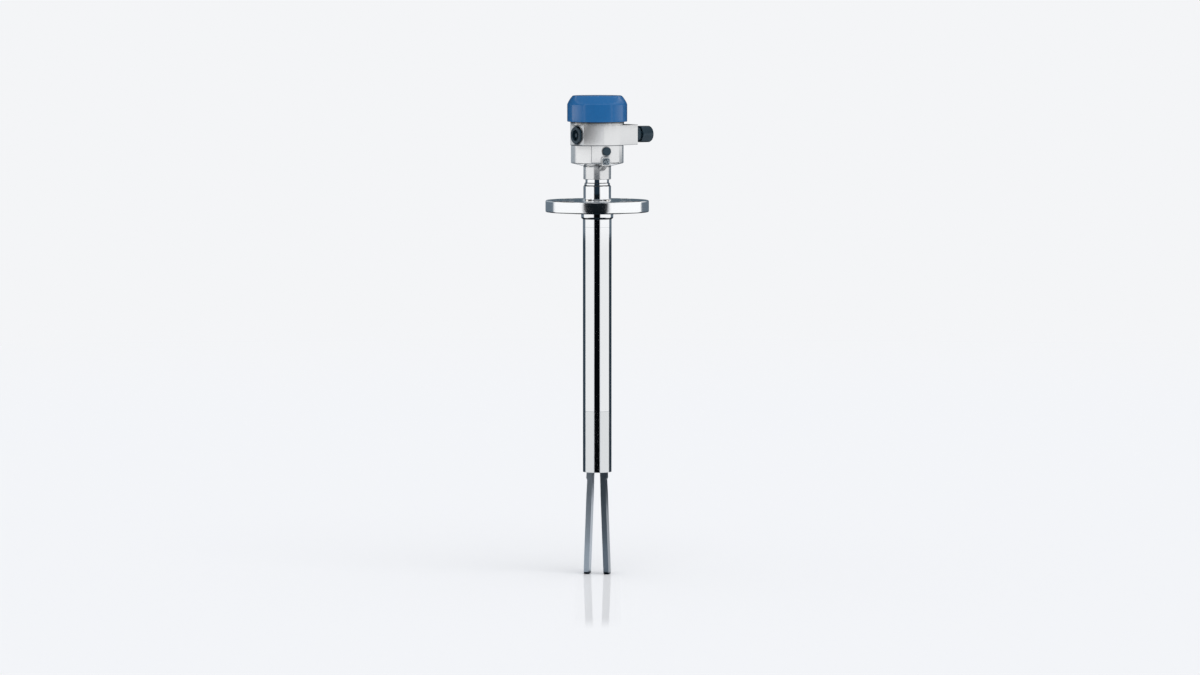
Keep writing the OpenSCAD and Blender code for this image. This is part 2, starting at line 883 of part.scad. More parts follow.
// Plan of the band and its arm: a circle, and straight sides that run off it to the arm's end
module band_plan() {
    corner_r = norm([arm_reach, arm_w / 2]);
    corner_a = atan2(arm_w / 2, arm_reach);
    touch_a = corner_a + acos(band_r / corner_r);
    circle(r = band_r);
    polygon([
        [band_r * cos(touch_a), band_r * sin(touch_a)],
        [band_r * cos(touch_a), -band_r * sin(touch_a)],
        [arm_reach, -arm_w / 2],
        [arm_reach, arm_w / 2]
    ]);
}

// Profile of the casting's round body, outside
module casting_body() {
    neck_r = neck_d / 2;
    turned([
        [0, neck_bottom],
        [neck_r - 0.6, neck_bottom],
        [neck_r, neck_bottom + 0.6],
        [neck_r, neck_top - 1.2],
        [neck_r + 0.5, neck_top - 0.3],
        [neck_r + 1.4, neck_top],
        [cup_r - 0.8, cup_bottom - 0.2],
        [cup_r, cup_bottom + 0.8],
        [cup_r, band_top - 1],
        [rim_collar_r, band_top - 1],
        [rim_collar_r, seal_seat],
        [rim_r, seal_seat],
        [rim_r, rim_top - 0.8],
        [rim_r - 0.8, rim_top],
        [0, rim_top]
    ]);
}

// Raised pad on the right of the cup's front
module casting_pad() {
    pad_in = cavity_r + 1;
    rotate([0, 0, pad_from - 90])
        rotate_extrude(angle = pad_to - pad_from)
            polygon([
                [pad_in, cup_bottom + 1],
                [pad_r - 0.5, cup_bottom + 1],
                [pad_r, cup_bottom + 1.8],
                [pad_r, band_bottom + 1],
                [pad_in, band_bottom + 1]
            ]);
}

// Ground boss with the rib that runs down from it onto the neck
module casting_ground_boss() {
    boss_bottom = ground_z - ground_h / 2;
    boss_depth = 8;
    corner_r = 2.2;
    rib_w = ground_w - 5;
    rib_start = neck_d / 2 - 1;
    on_side(ground_azimuth, 0, ground_z)
        translate([0, 0, cup_r - boss_depth])
            linear_extrude(ground_step + boss_depth)
                round_rect(ground_w, ground_h, corner_r);
    rotate([0, 0, ground_azimuth])
        rotate([90, 0, -90])
            linear_extrude(rib_w, center = true)
                polygon([
                    [rib_start, boss_bottom - ground_rib_h + 2.5],
                    [rib_start + 3.4, boss_bottom - ground_rib_h],
                    [ground_face - 1.6, boss_bottom + 1.2],
                    [ground_face - 1.6, cup_bottom + 2],
                    [rib_start, cup_bottom + 2]
                ]);
}

// Round boss that the vent cap sits on
module casting_vent_boss() {
    on_side(vent_azimuth, 0, vent_z)
        rod(vent_d / 2 + 0.7, cavity_r + 2, vent_face);
}

// Bosses inside the cup: two for the module, one behind the plug's port, one for the inner ground
module casting_inner_bosses() {
    ground_boss_r = 4;
    intersection() {
        rod(cup_r - 1, cup_floor - cut, rim_top);
        union() {
            rotate([0, 0, arm_turn])
                for (side = [-1, 1])
                    translate([0, side * module_screw_r, 0])
                        rod(module_boss_d / 2, cup_floor - cut, deck_bottom);
            on_plug(0)
                rod(port_boss_d / 2, plug_flat - plug_port_l, plug_flat);
            rotate([0, 0, arm_turn + inner_ground_turn])
                translate([inner_ground_r, 0, 0])
                    rod(ground_boss_r, deck_top + 1, inner_ground_z);
        }
    }
}

// Housing casting: neck, cup, band with cable arm, threaded rim, bosses and ports
module housing_casting() {
    flat_margin = 0.5;
    module_hole_l = module_screw_l - deck_t + 4;
    color("lightgray")
        difference() {
            union() {
                difference() {
                    union() {
                        casting_body();
                        casting_pad();
                        translate([0, 0, band_bottom])
                            rotate([0, 0, arm_turn])
                                linear_extrude(band_h)
                                    band_plan();
                        casting_ground_boss();
                        casting_vent_boss();
                    }
                    // The plug's flat, a little higher than the band on both sides
                    rotate([0, 0, arm_turn])
                        translate([-2 * cup_r - plug_flat, -cup_r, band_bottom - flat_margin])
                            cube([2 * cup_r, 2 * cup_r, band_h + 2 * flat_margin]);
                    rod(cavity_r, cup_floor, rim_top + cut);
                    // Cable channel in the arm
                    on_arm(0)
                        rod(channel_d / 2, 0, arm_reach - port_l);
                }
                casting_inner_bosses();
            }
            rod(sleeve_d / 2 + running_gap, neck_bottom - cut, swivel_shoulder);
            rod(adapter_top_d / 2 + running_gap, swivel_shoulder - cut, cup_floor + cut);
            on_arm(0)
                rod(port_r, arm_reach - port_l - cut, arm_reach + cut);
            on_plug(0)
                rod(port_r, plug_flat - plug_port_l - cut, plug_flat + cut);
            on_side(vent_azimuth, 0, vent_z)
                rod(vent_stem_r, cavity_r - 2, vent_face + cut);
            on_side(ground_azimuth, 0, ground_z)
                rod(ground_hole_r, ground_face - ground_hole_l, ground_face + cut);
            rotate([0, 0, arm_turn])
                for (side = [-1, 1])
                    translate([0, side * module_screw_r, 0])
                        rod(module_hole_r, deck_bottom - module_hole_l, deck_bottom + cut);
            rotate([0, 0, arm_turn + inner_ground_turn])
                translate([inner_ground_r, 0, 0])
                    rod(inner_screw_d / 2 + thread_gap, inner_ground_z - 6, inner_ground_z + cut);
        }
}

// Electronics module: moulded deck with its pot and raised control panel
module electronics_module() {
    pot_h = deck_bottom - module_base_top;
    pot_side_l = 2 * sqrt(pot_r * pot_r - pot_cut * pot_cut);
    ear_r = 4.4;
    slot_w = switch_w + 2 * free_gap;
    color("dimgray")
        rotate([0, 0, arm_turn])
            difference() {
                union() {
                    difference() {
                        rod(deck_r, deck_bottom, deck_top);
                        translate([deck_cut, -deck_r, deck_bottom - cut])
                            cube([deck_r, 2 * deck_r, deck_t + 2 * cut]);
                    }
                    difference() {
                        tube(pot_r, pot_r - pot_wall, module_base_top, deck_bottom);
                        translate([pot_cut, -pot_r, module_base_top - cut])
                            cube([pot_r, 2 * pot_r, pot_h + 2 * cut]);
                    }
                    translate([pot_cut - pot_wall, -pot_side_l / 2, module_base_top])
                        cube([pot_wall, pot_side_l, pot_h]);
                    translate([-panel_offset, 0, deck_top])
                        linear_extrude(panel_h)
                            round_rect(panel_w, panel_l, 2);
                }
                for (side = [-1, 1])
                    translate([0, side * module_screw_r, 0]) {
                        rod(module_hole_r, deck_bottom - cut, deck_top + cut);
                        rod(ear_r, deck_top, panel_top + cut);
                    }
                translate([-panel_offset, control_pitch, 0])
                    rod(dial_d / 2 + free_gap, controls_z, panel_top + cut);
                translate([-panel_offset, 0, 0])
                    rod(lamp_d / 2 + thread_gap, controls_z, panel_top + cut);
                translate([-panel_offset - slot_w / 2, -control_pitch - switch_slot_l / 2, controls_z])
                    cube([slot_w, switch_slot_l, control_depth + cut]);
            }
}

// Base plate that closes the pot
module module_base() {
    color("gray")
        rotate([0, 0, arm_turn])
            difference() {
                rod(pot_r, module_base_bottom, module_base_top);
                translate([pot_cut, -pot_r, module_base_bottom - cut])
                    cube([pot_r, 2 * pot_r, module_base_t + 2 * cut]);
            }
}

// Circuit board, standing on the base plate
module circuit_board() {
    back = board_offset + board_t;
    half_w = sqrt(pow(pot_r - pot_wall, 2) - pow(back, 2)) - board_gap;
    color("forestgreen")
        rotate([0, 0, arm_turn])
            translate([-back, -half_w, module_base_top])
                cube([board_t, 2 * half_w, deck_bottom - module_base_top - free_gap]);
}

// Relay on the circuit board
module output_relay() {
    color("midnightblue")
        rotate([0, 0, arm_turn])
            translate([-board_offset, -relay_w / 2, module_base_top + relay_rise])
                cube([relay_t, relay_w, relay_h]);
}

// Contact socket: hangs from the base plate round the centre contact
module contact_socket() {
    socket_r = contact_d / 2 + 2.5;
    color("goldenrod")
        tube(socket_r, contact_d / 2 + free_gap, cup_floor - 6, module_base_bottom);
}

// Terminal block with a screw hole and a wire hole for each terminal
module terminal_block() {
    wire_hole_r = 1.9;
    screw_hole_r = terminal_screw_d / 2 + thread_gap;
    front_h = terminal_h * 0.6;
    tower_w = terminal_w * 0.7;
    color("darkslategray")
        rotate([0, 0, arm_turn])
            translate([terminal_x, 0, deck_top])
                difference() {
                    union() {
                        translate([-terminal_w / 2, -terminal_l / 2, 0])
                            cube([terminal_w, terminal_l, front_h]);
                        translate([-terminal_w / 2, -terminal_l / 2, 0])
                            cube([tower_w, terminal_l, terminal_h]);
                    }
                    for (i = [0:terminal_count - 1]) {
                        translate([terminal_screw_x - terminal_x, terminal_y(i), 0])
                            rod(screw_hole_r, terminal_h - terminal_screw_seat, terminal_h + cut);
                        translate([0, terminal_y(i), terminal_h * 0.3])
                            rotate([0, 90, 0])
                                rod(wire_hole_r, -1, terminal_w / 2 + cut);
                    }
                }
}

// Terminal screws, slotted
module terminal_screws() {
    screw_h = 3.4;
    slot_w = 0.9;
    color("silver")
        rotate([0, 0, arm_turn])
            for (i = [0:terminal_count - 1])
                translate([terminal_screw_x, terminal_y(i), deck_top + terminal_h - terminal_screw_seat])
                    difference() {
                        cylinder(d = terminal_screw_d, h = screw_h);
                        translate([-slot_w / 2, -terminal_screw_d, screw_h - 1])
                            cube([slot_w, 2 * terminal_screw_d, 1 + cut]);
                    }
}

// Screw with a round head and a cross recess: head up, seat at height 0
module cross_screw(shank_d, shank_l, head_d, head_h) {
    slot_w = head_d * 0.16;
    slot_l = head_d * 0.62;
    difference() {
        union() {
            rod(shank_d / 2, -shank_l, 0);
            turned([
                [0, 0],
                [head_d / 2, 0],
                [head_d / 2, head_h * 0.55],
                [head_d / 2 * 0.82, head_h * 0.9],
                [head_d / 2 * 0.6, head_h],
                [0, head_h]
            ]);
        }
        for (a = [0, 90])
            rotate([0, 0, a])
                translate([-slot_l / 2, -slot_w / 2, head_h * 0.45])
                    cube([slot_l, slot_w, head_h]);
    }
}

// Screws that hold the module on the housing's bosses
module module_screws() {
    color("silver")
        rotate([0, 0, arm_turn])
            for (side = [-1, 1])
                translate([0, side * module_screw_r, deck_top])
                    cross_screw(module_screw_d, module_screw_l, 6.4, 2.4);
}

// Signal lamp with a domed end
module signal_lamp() {
    color("limegreen")
        rotate([0, 0, arm_turn])
            translate([-panel_offset, 0, controls_z]) {
                cylinder(d = lamp_d, h = control_depth);
                translate([0, 0, control_depth])
                    rotate_extrude()
                        intersection() {
                            circle(d = lamp_d);
                            square(lamp_d);
                        }
            }
}

// Mode switch: a small slider in its slot
module mode_switch() {
    switch_start = -control_pitch - switch_slot_l / 2 + free_gap;
    color("white")
        rotate([0, 0, arm_turn])
            translate([-panel_offset - switch_w / 2, switch_start, controls_z]) {
                cube([switch_w, switch_l, control_depth]);
                translate([0.6, switch_l / 2 - 0.9, 0])
                    cube([switch_w - 1.2, 1.8, control_depth + 1.6]);
            }
}

// Sensitivity dial, with a screwdriver slot
module sensitivity_dial() {
    dial_h = control_depth + 1.6;
    slot_w = 1.2;
    color("white")
        rotate([0, 0, arm_turn])
            translate([-panel_offset, control_pitch, controls_z])
                difference() {
                    cylinder(d = dial_d, h = dial_h);
                    translate([-dial_d * 0.35, -slot_w / 2, dial_h - 1.2])
                        cube([dial_d, slot_w, 1.2 + cut]);
                }
}

// Ground screw inside the housing, on its own boss
module inner_ground_screw() {
    color("silver")
        rotate([0, 0, arm_turn + inner_ground_turn])
            translate([inner_ground_r, 0, inner_ground_z])
                cross_screw(inner_screw_d, 5, 5.6, 2.2);
}

// Ground screw outside, over its spring washer and clamp
module ground_screw() {
    screw_l = ground_hole_l - 1 + clamp_t + washer_t;
    color("slategray")
        on_side(ground_azimuth, ground_face, ground_z)
            translate([0, 0, clamp_t + washer_t])
                rotate([0, 0, 20])
                    cross_screw(ground_screw_d, screw_l, ground_head_d, ground_head_h);
}

// Split spring washer
module ground_spring_washer() {
    split_w = 0.9;
    color("gray")
        on_side(ground_azimuth, ground_face, ground_z)
            difference() {
                tube(ground_head_d / 2, ground_hole_r, clamp_t, clamp_t + washer_t);
                translate([0, -split_w / 2, clamp_t - cut])
                    cube([ground_head_d, split_w, washer_t + 2 * cut]);
            }
}

// Square clamping washer with two lips that keep the wire in
module ground_clamp() {
    lip_w = 0.9;
    lip_h = 0.9;
    color("gray")
        on_side(ground_azimuth, ground_face, ground_z)
            difference() {
                union() {
                    linear_extrude(clamp_t)
                        round_rect(clamp_w, clamp_w, 1);
                    for (side = [-1, 1])
                        translate([side * (clamp_w - lip_w) / 2, 0, 0])
                            linear_extrude(clamp_t + lip_h)
                                square([lip_w, clamp_w - 2], center = true);
                }
                rod(ground_hole_r, -cut, clamp_t + cut);
            }
}

// Vent cap: round head on a stem that fills the hole
module vent_cap() {
    head_r = vent_d / 2;
    stem_r = vent_stem_r - thread_gap;
    stem_end = cavity_r + 1 - vent_face;
    color("darkslategray")
        on_side(vent_azimuth, vent_face, vent_z)
            turned([
                [0, stem_end],
                [stem_r, stem_end],
                [stem_r, 0],
                [head_r, 0],
                [head_r, vent_h - 0.7],
                [head_r - 0.7, vent_h],
                [0, vent_h]
            ]);
}

// Membrane behind the vent cap's stem
module vent_membrane() {
    membrane_t = 0.6;
    color("white")
        on_side(vent_azimuth, 0, vent_z)
            rod(vent_stem_r - thread_gap, cavity_r + 1 - membrane_t, cavity_r + 1);
}

// Gland body: shank in the port, hexagon collar, spigot for the nut
module gland_body() {
    through_r = 6;
    color("darkslategray")
        on_arm(arm_reach)
            difference() {
                union() {
                    rod(port_shank_r, -port_l, collar_start);
                    translate([0, 0, collar_start])
                        hex_bar(gland_af, gland_af + 2.2, gland_collar_t);
                    rod(spigot_out, collar_end, spigot_end);
                }
                rod(through_r, -port_l - cut, spigot_end + cut);
                rod(insert_r + free_gap, insert_start, spigot_end + cut);
            }
}

// Flat seal under the gland's collar
module gland_body_seal() {
    color("black")
        on_arm(arm_reach)
            tube(gland_af / 2 - 0.6, port_shank_r + thread_gap, 0, flat_seal_t);
}

// Rubber insert that closes on the cable
module gland_insert() {
    color("black")
        on_arm(arm_reach)
            difference() {
                rod(insert_r, insert_start, insert_end);
                rod(cable_d / 2, insert_start - cut, insert_end + cut);
            }
}

// Clamping cage: a slotted ring that the nut's cone presses inwards
module gland_cage() {
    cage_start = spigot_end + free_gap;
    cage_end = cage_start + cage_l;
    cage_in = insert_r + weld_gap;
    slot_start = cage_start + cage_root_l;
    slot_w = 1;
    color("black")
        on_arm(arm_reach)
            difference() {
                turned([
                    [cage_in, cage_start],
                    [spigot_out, cage_start],
                    [spigot_out, slot_start - 0.6],
                    [spigot_out - 0.9, cage_end],
                    [cage_in, cage_end]
                ]);
                for (i = [0:finger_count - 1])
                    rotate([0, 0, i * 360 / finger_count])
                        translate([0, -slot_w / 2, slot_start])
                            cube([port_d, slot_w, cage_l]);
            }
}

// Dome nut: hexagon that runs out into a round nose
module gland_nut() {
    nose_start = nut_start + gland_hex_l;
    nose_out = gland_end_d / 2;
    thread_r = spigot_out + thread_depth;
    cone_start = spigot_end + 3.4;
    cone_end = spigot_end + cage_l + 1;
    seat_r = insert_r + 1.3;
    exit_r = insert_r - 0.4;
    corner_r = gland_af / 2 + 1.1;
    steps = 8;
    color("darkslategray")
        on_arm(arm_reach)
            difference() {
                intersection() {
                    rotate([0, 0, 30])
                        translate([0, 0, nut_start])
                            cylinder(d = gland_af / cos(30), h = gland_nut_l, $fn = 6);
                    turned(concat(
                        [[0, nut_start], [corner_r - 0.8, nut_start], [corner_r, nut_start + 0.8]],
                        [for (i = [0:steps])
                            let (t = i / steps)
                            [
                                nose_out + (corner_r - nose_out) * sqrt(1 - t * t),
                                nose_start + (nut_end - nose_start) * t
                            ]
                        ],
                        [[0, nut_end]]
                    ));
                }
                turned([
                    [0, nut_start - cut],
                    [thread_r, nut_start - cut],
                    [thread_r, cone_start],
                    [seat_r, cone_end],
                    [exit_r, cone_end + 1.2],
                    [exit_r, nut_end - 0.8],
                    [exit_r + 0.8, nut_end + 0.1],
                    [exit_r + 0.8, nut_end + cut],
                    [0, nut_end + cut]
                ]);
            }
}

// Flat seal under the plug's head
module plug_seal() {
    color("black")
        on_plug(plug_flat)
            tube(plug_head_d / 2 - 1, port_shank_r + free_gap, 0, plug_seal_t);
}

// Blanking plug: low hexagon head with a round recess, on a solid shank
module blanking_plug() {
    head_r = plug_head_d / 2;
    head_top = plug_seal_t + plug_head_t;
    pit_r = plug_recess_d / 2;
    pit_floor = head_top - plug_recess_h;
    hub_r = 3;
    color("darkslategray")
        on_plug(plug_flat)
            difference() {
                union() {
                    intersection() {
                        translate([0, 0, plug_seal_t])
                            cylinder(r = head_r + 0.9, h = plug_head_t, $fn = 6);
                        turned([
                            [0, plug_seal_t],
                            [head_r, plug_seal_t],
                            [head_r, head_top - 0.7],
                            [head_r - 0.7, head_top],
                            [0, head_top]
                        ]);
                    }
                    rod(port_shank_r, -plug_port_l, plug_seal_t + cut);
                }
                difference() {
                    rod(pit_r, pit_floor, head_top + cut);
                    rod(hub_r, pit_floor - cut, head_top - 1.4);
                }
            }
}

// Lid seal: sits on the rim, under the thread
module lid_seal() {
    seal_r = rim_r + running_gap + lid_seal_cord / 2;
    seal_z = seal_seat + running_gap + lid_seal_cord / 2;
    color("black")
        translate([0, 0, seal_z])
            rotate_extrude()
                translate([seal_r, 0])
                    circle(d = lid_seal_cord);
}

// Lid: screw cap with a full, rounded shoulder, hollow inside
module lid() {
    lid_r = lid_d / 2;
    top_r = lid_top_d / 2;
    lid_top = lid_bottom + lid_h;
    shoulder_z = lid_top - lid_shoulder_h;
    ledge_z = rim_top + free_gap;
    ledge_r = rim_r - 1.6;
    ceiling_z = lid_top - lid_top_t;
    steps = 10;
    color("steelblue")
        turned(concat(
            [[lid_bore_r, lid_bottom], [lid_r - 0.5, lid_bottom], [lid_r, lid_bottom + 0.5]],
            [for (i = [0:steps])
                let (a = 90 * i / steps, power = 2 / lid_fullness)
                [
                    top_r + (lid_r - top_r) * pow(cos(a), power),
                    shoulder_z + lid_shoulder_h * pow(sin(a), power)
                ]
            ],
            [
                [0, lid_top],
                [0, ceiling_z],
                [top_r - 4, ceiling_z],
                [ledge_r, ceiling_z - 3],
                [ledge_r, ledge_z],
                [lid_bore_r, ledge_z]
            ]
        ));
}

process_flange();
process_fitting();
extension_tube();
fork_barrel();
diaphragm();
tine_left();
tine_right();
pressure_bridge();
drive_stud();
piezo_discs();
contact_plates();
insulator_rings();
disc_spring();
drive_nut();
drive_leads();
lead_spacers();
swivel_adapter();
swivel_seal();
retaining_ring();
feedthrough();
centre_contact();
housing_casting();
electronics_module();
module_base();
circuit_board();
output_relay();
contact_socket();
terminal_block();
terminal_screws();
module_screws();
signal_lamp();
mode_switch();
sensitivity_dial();
inner_ground_screw();
ground_screw();
ground_spring_washer();
ground_clamp();
vent_cap();
vent_membrane();
gland_body();
gland_body_seal();
gland_cage();
gland_insert();
gland_nut();
plug_seal();
blanking_plug();
lid_seal();
lid();
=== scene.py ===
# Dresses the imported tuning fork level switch: studio, finishes, threads, welds and markings.
import math

import bpy
from mathutils import Matrix, Vector


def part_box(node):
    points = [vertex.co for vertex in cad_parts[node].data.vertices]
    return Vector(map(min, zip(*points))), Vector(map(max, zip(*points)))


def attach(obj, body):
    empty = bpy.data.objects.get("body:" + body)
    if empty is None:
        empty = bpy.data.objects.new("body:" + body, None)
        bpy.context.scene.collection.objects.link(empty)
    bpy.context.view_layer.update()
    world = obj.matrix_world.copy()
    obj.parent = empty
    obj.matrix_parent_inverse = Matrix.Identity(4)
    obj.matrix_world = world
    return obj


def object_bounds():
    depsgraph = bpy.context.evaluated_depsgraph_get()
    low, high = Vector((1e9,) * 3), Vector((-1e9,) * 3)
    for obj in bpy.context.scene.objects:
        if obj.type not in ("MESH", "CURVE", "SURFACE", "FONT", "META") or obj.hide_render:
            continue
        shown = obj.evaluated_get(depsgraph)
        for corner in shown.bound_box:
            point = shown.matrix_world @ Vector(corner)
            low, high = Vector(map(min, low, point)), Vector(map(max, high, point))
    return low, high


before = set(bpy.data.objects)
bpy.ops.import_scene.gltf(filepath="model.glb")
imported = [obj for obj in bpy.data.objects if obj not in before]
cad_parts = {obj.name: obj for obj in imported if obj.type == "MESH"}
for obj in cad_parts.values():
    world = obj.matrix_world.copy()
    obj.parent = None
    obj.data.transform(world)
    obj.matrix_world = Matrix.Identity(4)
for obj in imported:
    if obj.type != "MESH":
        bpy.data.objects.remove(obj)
cadLow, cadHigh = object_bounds()
mm = 0.001


def hexColour(text):
    # sRGB hex to the linear colour that a socket wants
    channels = [int(text[i:i + 2], 16) / 255 for i in (1, 3, 5)]
    linear = [c / 12.92 if c <= 0.04045 else ((c + 0.055) / 1.055) ** 2.4 for c in channels]
    return (*linear, 1.0)


def addNode(tree, kind, settings=None, links=None):
    # settings go to an input where there is one of that name or number, and to a property otherwise
    node = tree.nodes.new(kind)
    for key, value in (settings or {}).items():
        if isinstance(key, int) or key in node.inputs:
            node.inputs[key].default_value = value
        else:
            setattr(node, key, value)
    for key, socket in (links or {}).items():
        tree.links.new(socket, node.inputs[key])
    return node


def compute(tree, operation, *values):
    # The result of a maths node, from numbers and sockets in the order that it takes them
    node = addNode(tree, "ShaderNodeMath", {"operation": operation})
    for slot, value in zip(node.inputs, values):
        if isinstance(value, (int, float)):
            slot.default_value = value
        else:
            tree.links.new(value, slot)
    return node.outputs[0]


def remap(tree, value, start, end, low=0.0, high=1.0, way="SMOOTHSTEP"):
    # A value carried over from start and end to low and high, and held there beyond them
    return addNode(tree, "ShaderNodeMapRange",
                   {"interpolation_type": way, "From Min": start, "From Max": end, "To Min": low, "To Max": high},
                   {"Value": value}).outputs[0]


def splitAxes(tree, place):
    # A position's own X, Y and Z
    return addNode(tree, "ShaderNodeSeparateXYZ", links={0: place}).outputs


def facing(tree, links=None):
    # 0 where the surface, or a normal that is linked in, is seen straight on, and 1 where it is seen edge on
    return addNode(tree, "ShaderNodeLayerWeight", {"Blend": 0.5}, links).outputs["Facing"]


def mixShaders(tree, share, first, second):
    return addNode(tree, "ShaderNodeMixShader", links={0: share, 1: first, 2: second}).outputs[0]


def addThing(name, data):
    # A new object at the origin
    thing = bpy.data.objects.new(name, data)
    bpy.context.scene.collection.objects.link(thing)
    return thing


def turnThing(thing, direction, axis):
    thing.rotation_mode = "QUATERNION"
    thing.rotation_quaternion = direction.to_track_quat(axis, "Y")


# The photograph's view, from nine metres off and just above the lid, in m
camera = {"place": (0.0041, -9.0, 0.392), "aim": (0.0041, 0.0, -0.1836), "lens": 183.5, "sensor": 36.0,
          "clipEnd": 200.0}


def makeCamera():
    data = bpy.data.cameras.new("camera")
    data.lens = camera["lens"]
    data.sensor_width = camera["sensor"]
    data.clip_end = camera["clipEnd"]
    thing = addThing("camera", data)
    thing.location = camera["place"]
    turnThing(thing, Vector(camera["aim"]) - Vector(camera["place"]), "-Z")
    bpy.context.scene.camera = thing


makeCamera()

paleGrey = "#F4F5F7"
studio = {
    "skyForDiffuse": 0.8,  # share of the light that the sky gives
    "lampAngle": 55,  # degrees, so that shadows are soft
    "lampFrom": (0.4, -0.8, 1.4),
    "floorGap": 0.0004,  # m under the tines
    "floorRadius": 7.0,
    "floorSteps": 96,
    "floorFade": (3.0, 6.5),  # m from the object, over which floor turns into backdrop
    "mirrorShare": 0.24,  # of the floor in front of the fork
    "mirrorRoughness": 0.03,
    "mirrorReach": (0.58, 0.75),  # m from the fork, over which the mirror ends
    "mirrorHalfWidth": (0.025, 0.036),
    "mirrorBehind": (0.01, 0.05),
    "mirrorFacing": (0.84, 0.88),  # only where the floor is seen nearly edge on
    "mirrorFront": (0.25, 0.29),  # and only from the front, against a normal that leans there
}


def makeSky():
    world = bpy.data.worlds.new("studioSky")
    bpy.context.scene.world = world
    world.use_nodes = True
    tree = world.node_tree
    tree.nodes.clear()
    rays = addNode(tree, "ShaderNodeLightPath").outputs
    seen = compute(tree, "MAXIMUM", rays["Is Camera Ray"], rays["Is Glossy Ray"])
    seen = compute(tree, "MAXIMUM", seen, rays["Is Transmission Ray"])
    strength = remap(tree, seen, 0.0, 1.0, studio["skyForDiffuse"], 1.0, "LINEAR")
    sky = addNode(tree, "ShaderNodeBackground", {"Color": hexColour(paleGrey)}, {"Strength": strength})
    addNode(tree, "ShaderNodeOutputWorld", links={"Surface": sky.outputs[0]})


def makeLamp():
    data = bpy.data.lights.new("lamp", "SUN")
    data.angle = math.radians(studio["lampAngle"])
    aim = Vector(studio["lampFrom"]).normalized()
    # Sky and lamp together light a level white surface at 1
    fromSky = studio["skyForDiffuse"] * hexColour(paleGrey)[1]
    data.energy = (1 - fromSky) * math.pi / aim.z
    thing = addThing("lamp", data)
    turnThing(thing, aim, "Z")
    thing.visible_glossy = False


def arcPoints(radius, height, azimuths, steps):
    # Azimuths are in degrees from the camera and grow to its right
    first, last = azimuths
    angles = [math.radians(first + (last - first) * i / steps) for i in range(steps + 1)]
    return [(radius * math.sin(a), -radius * math.cos(a), height) for a in angles]


def stripFaces(steps):
    # The faces between one arc and the next
    return [(i, i + 1, steps + 2 + i, steps + 1 + i) for i in range(steps)]


def addCard(name, points, faces, materialName):
    # A studio piece with an empty material
    mesh = bpy.data.meshes.new(name)
    mesh.from_pydata(points, [], faces)
    material = bpy.data.materials.new(materialName)
    material.use_nodes = True
    material.node_tree.nodes.clear()
    mesh.materials.append(material)
    return addThing(name, mesh), material.node_tree


def hideFromAllButGloss(card):
    card.visible_camera = False
    card.visible_diffuse = False
    card.visible_shadow = False
    card.visible_transmission = False
    card.visible_volume_scatter = False


def makeFloor():
    steps = studio["floorSteps"]
    rim = arcPoints(studio["floorRadius"], cadLow.z - studio["floorGap"], (0, 360), steps)[:steps]
    floor, tree = addCard("floor", rim, [list(range(steps))], "paleFloor")
    place = addNode(tree, "ShaderNodeTexCoord").outputs["Object"]
    flat = addNode(tree, "ShaderNodeVectorMath", {"operation": "MULTIPLY", 1: (1, 1, 0)}, {0: place})
    away = addNode(tree, "ShaderNodeVectorMath", {"operation": "LENGTH"}, {0: flat.outputs[0]}).outputs["Value"]
    matt = addNode(tree, "ShaderNodeBsdfDiffuse", {"Color": hexColour(paleGrey)})
    gloss = addNode(tree, "ShaderNodeBsdfGlossy",
                    {"Color": hexColour(paleGrey), "Roughness": studio["mirrorRoughness"]})
    # Only a narrow strip of the floor mirrors, so that it shows the fork and none of the cards
    across = splitAxes(tree, place)
    leaning = addNode(tree, "ShaderNodeCombineXYZ", {"Y": -math.sqrt(0.5), "Z": math.sqrt(0.5)}).outputs[0]
    share = remap(tree, away, *studio["mirrorReach"], studio["mirrorShare"], 0.0)
    for limit in (remap(tree, compute(tree, "ABSOLUTE", across["X"]), *studio["mirrorHalfWidth"], 1.0, 0.0),
                  remap(tree, across["Y"], *studio["mirrorBehind"], 1.0, 0.0),
                  remap(tree, facing(tree), *studio["mirrorFacing"]),
                  remap(tree, facing(tree, {"Normal": leaning}), *studio["mirrorFront"], 1.0, 0.0)):
        share = compute(tree, "MULTIPLY", share, limit)
    surface = mixShaders(tree, share, matt.outputs[0], gloss.outputs[0])
    clear = addNode(tree, "ShaderNodeBsdfTransparent").outputs[0]
    fade = remap(tree, away, *studio["floorFade"])
    hidden = compute(tree, "MAXIMUM", fade, addNode(tree, "ShaderNodeNewGeometry").outputs["Backfacing"])
    surface = mixShaders(tree, hidden, surface, clear)
    addNode(tree, "ShaderNodeOutputMaterial", links={"Surface": surface})


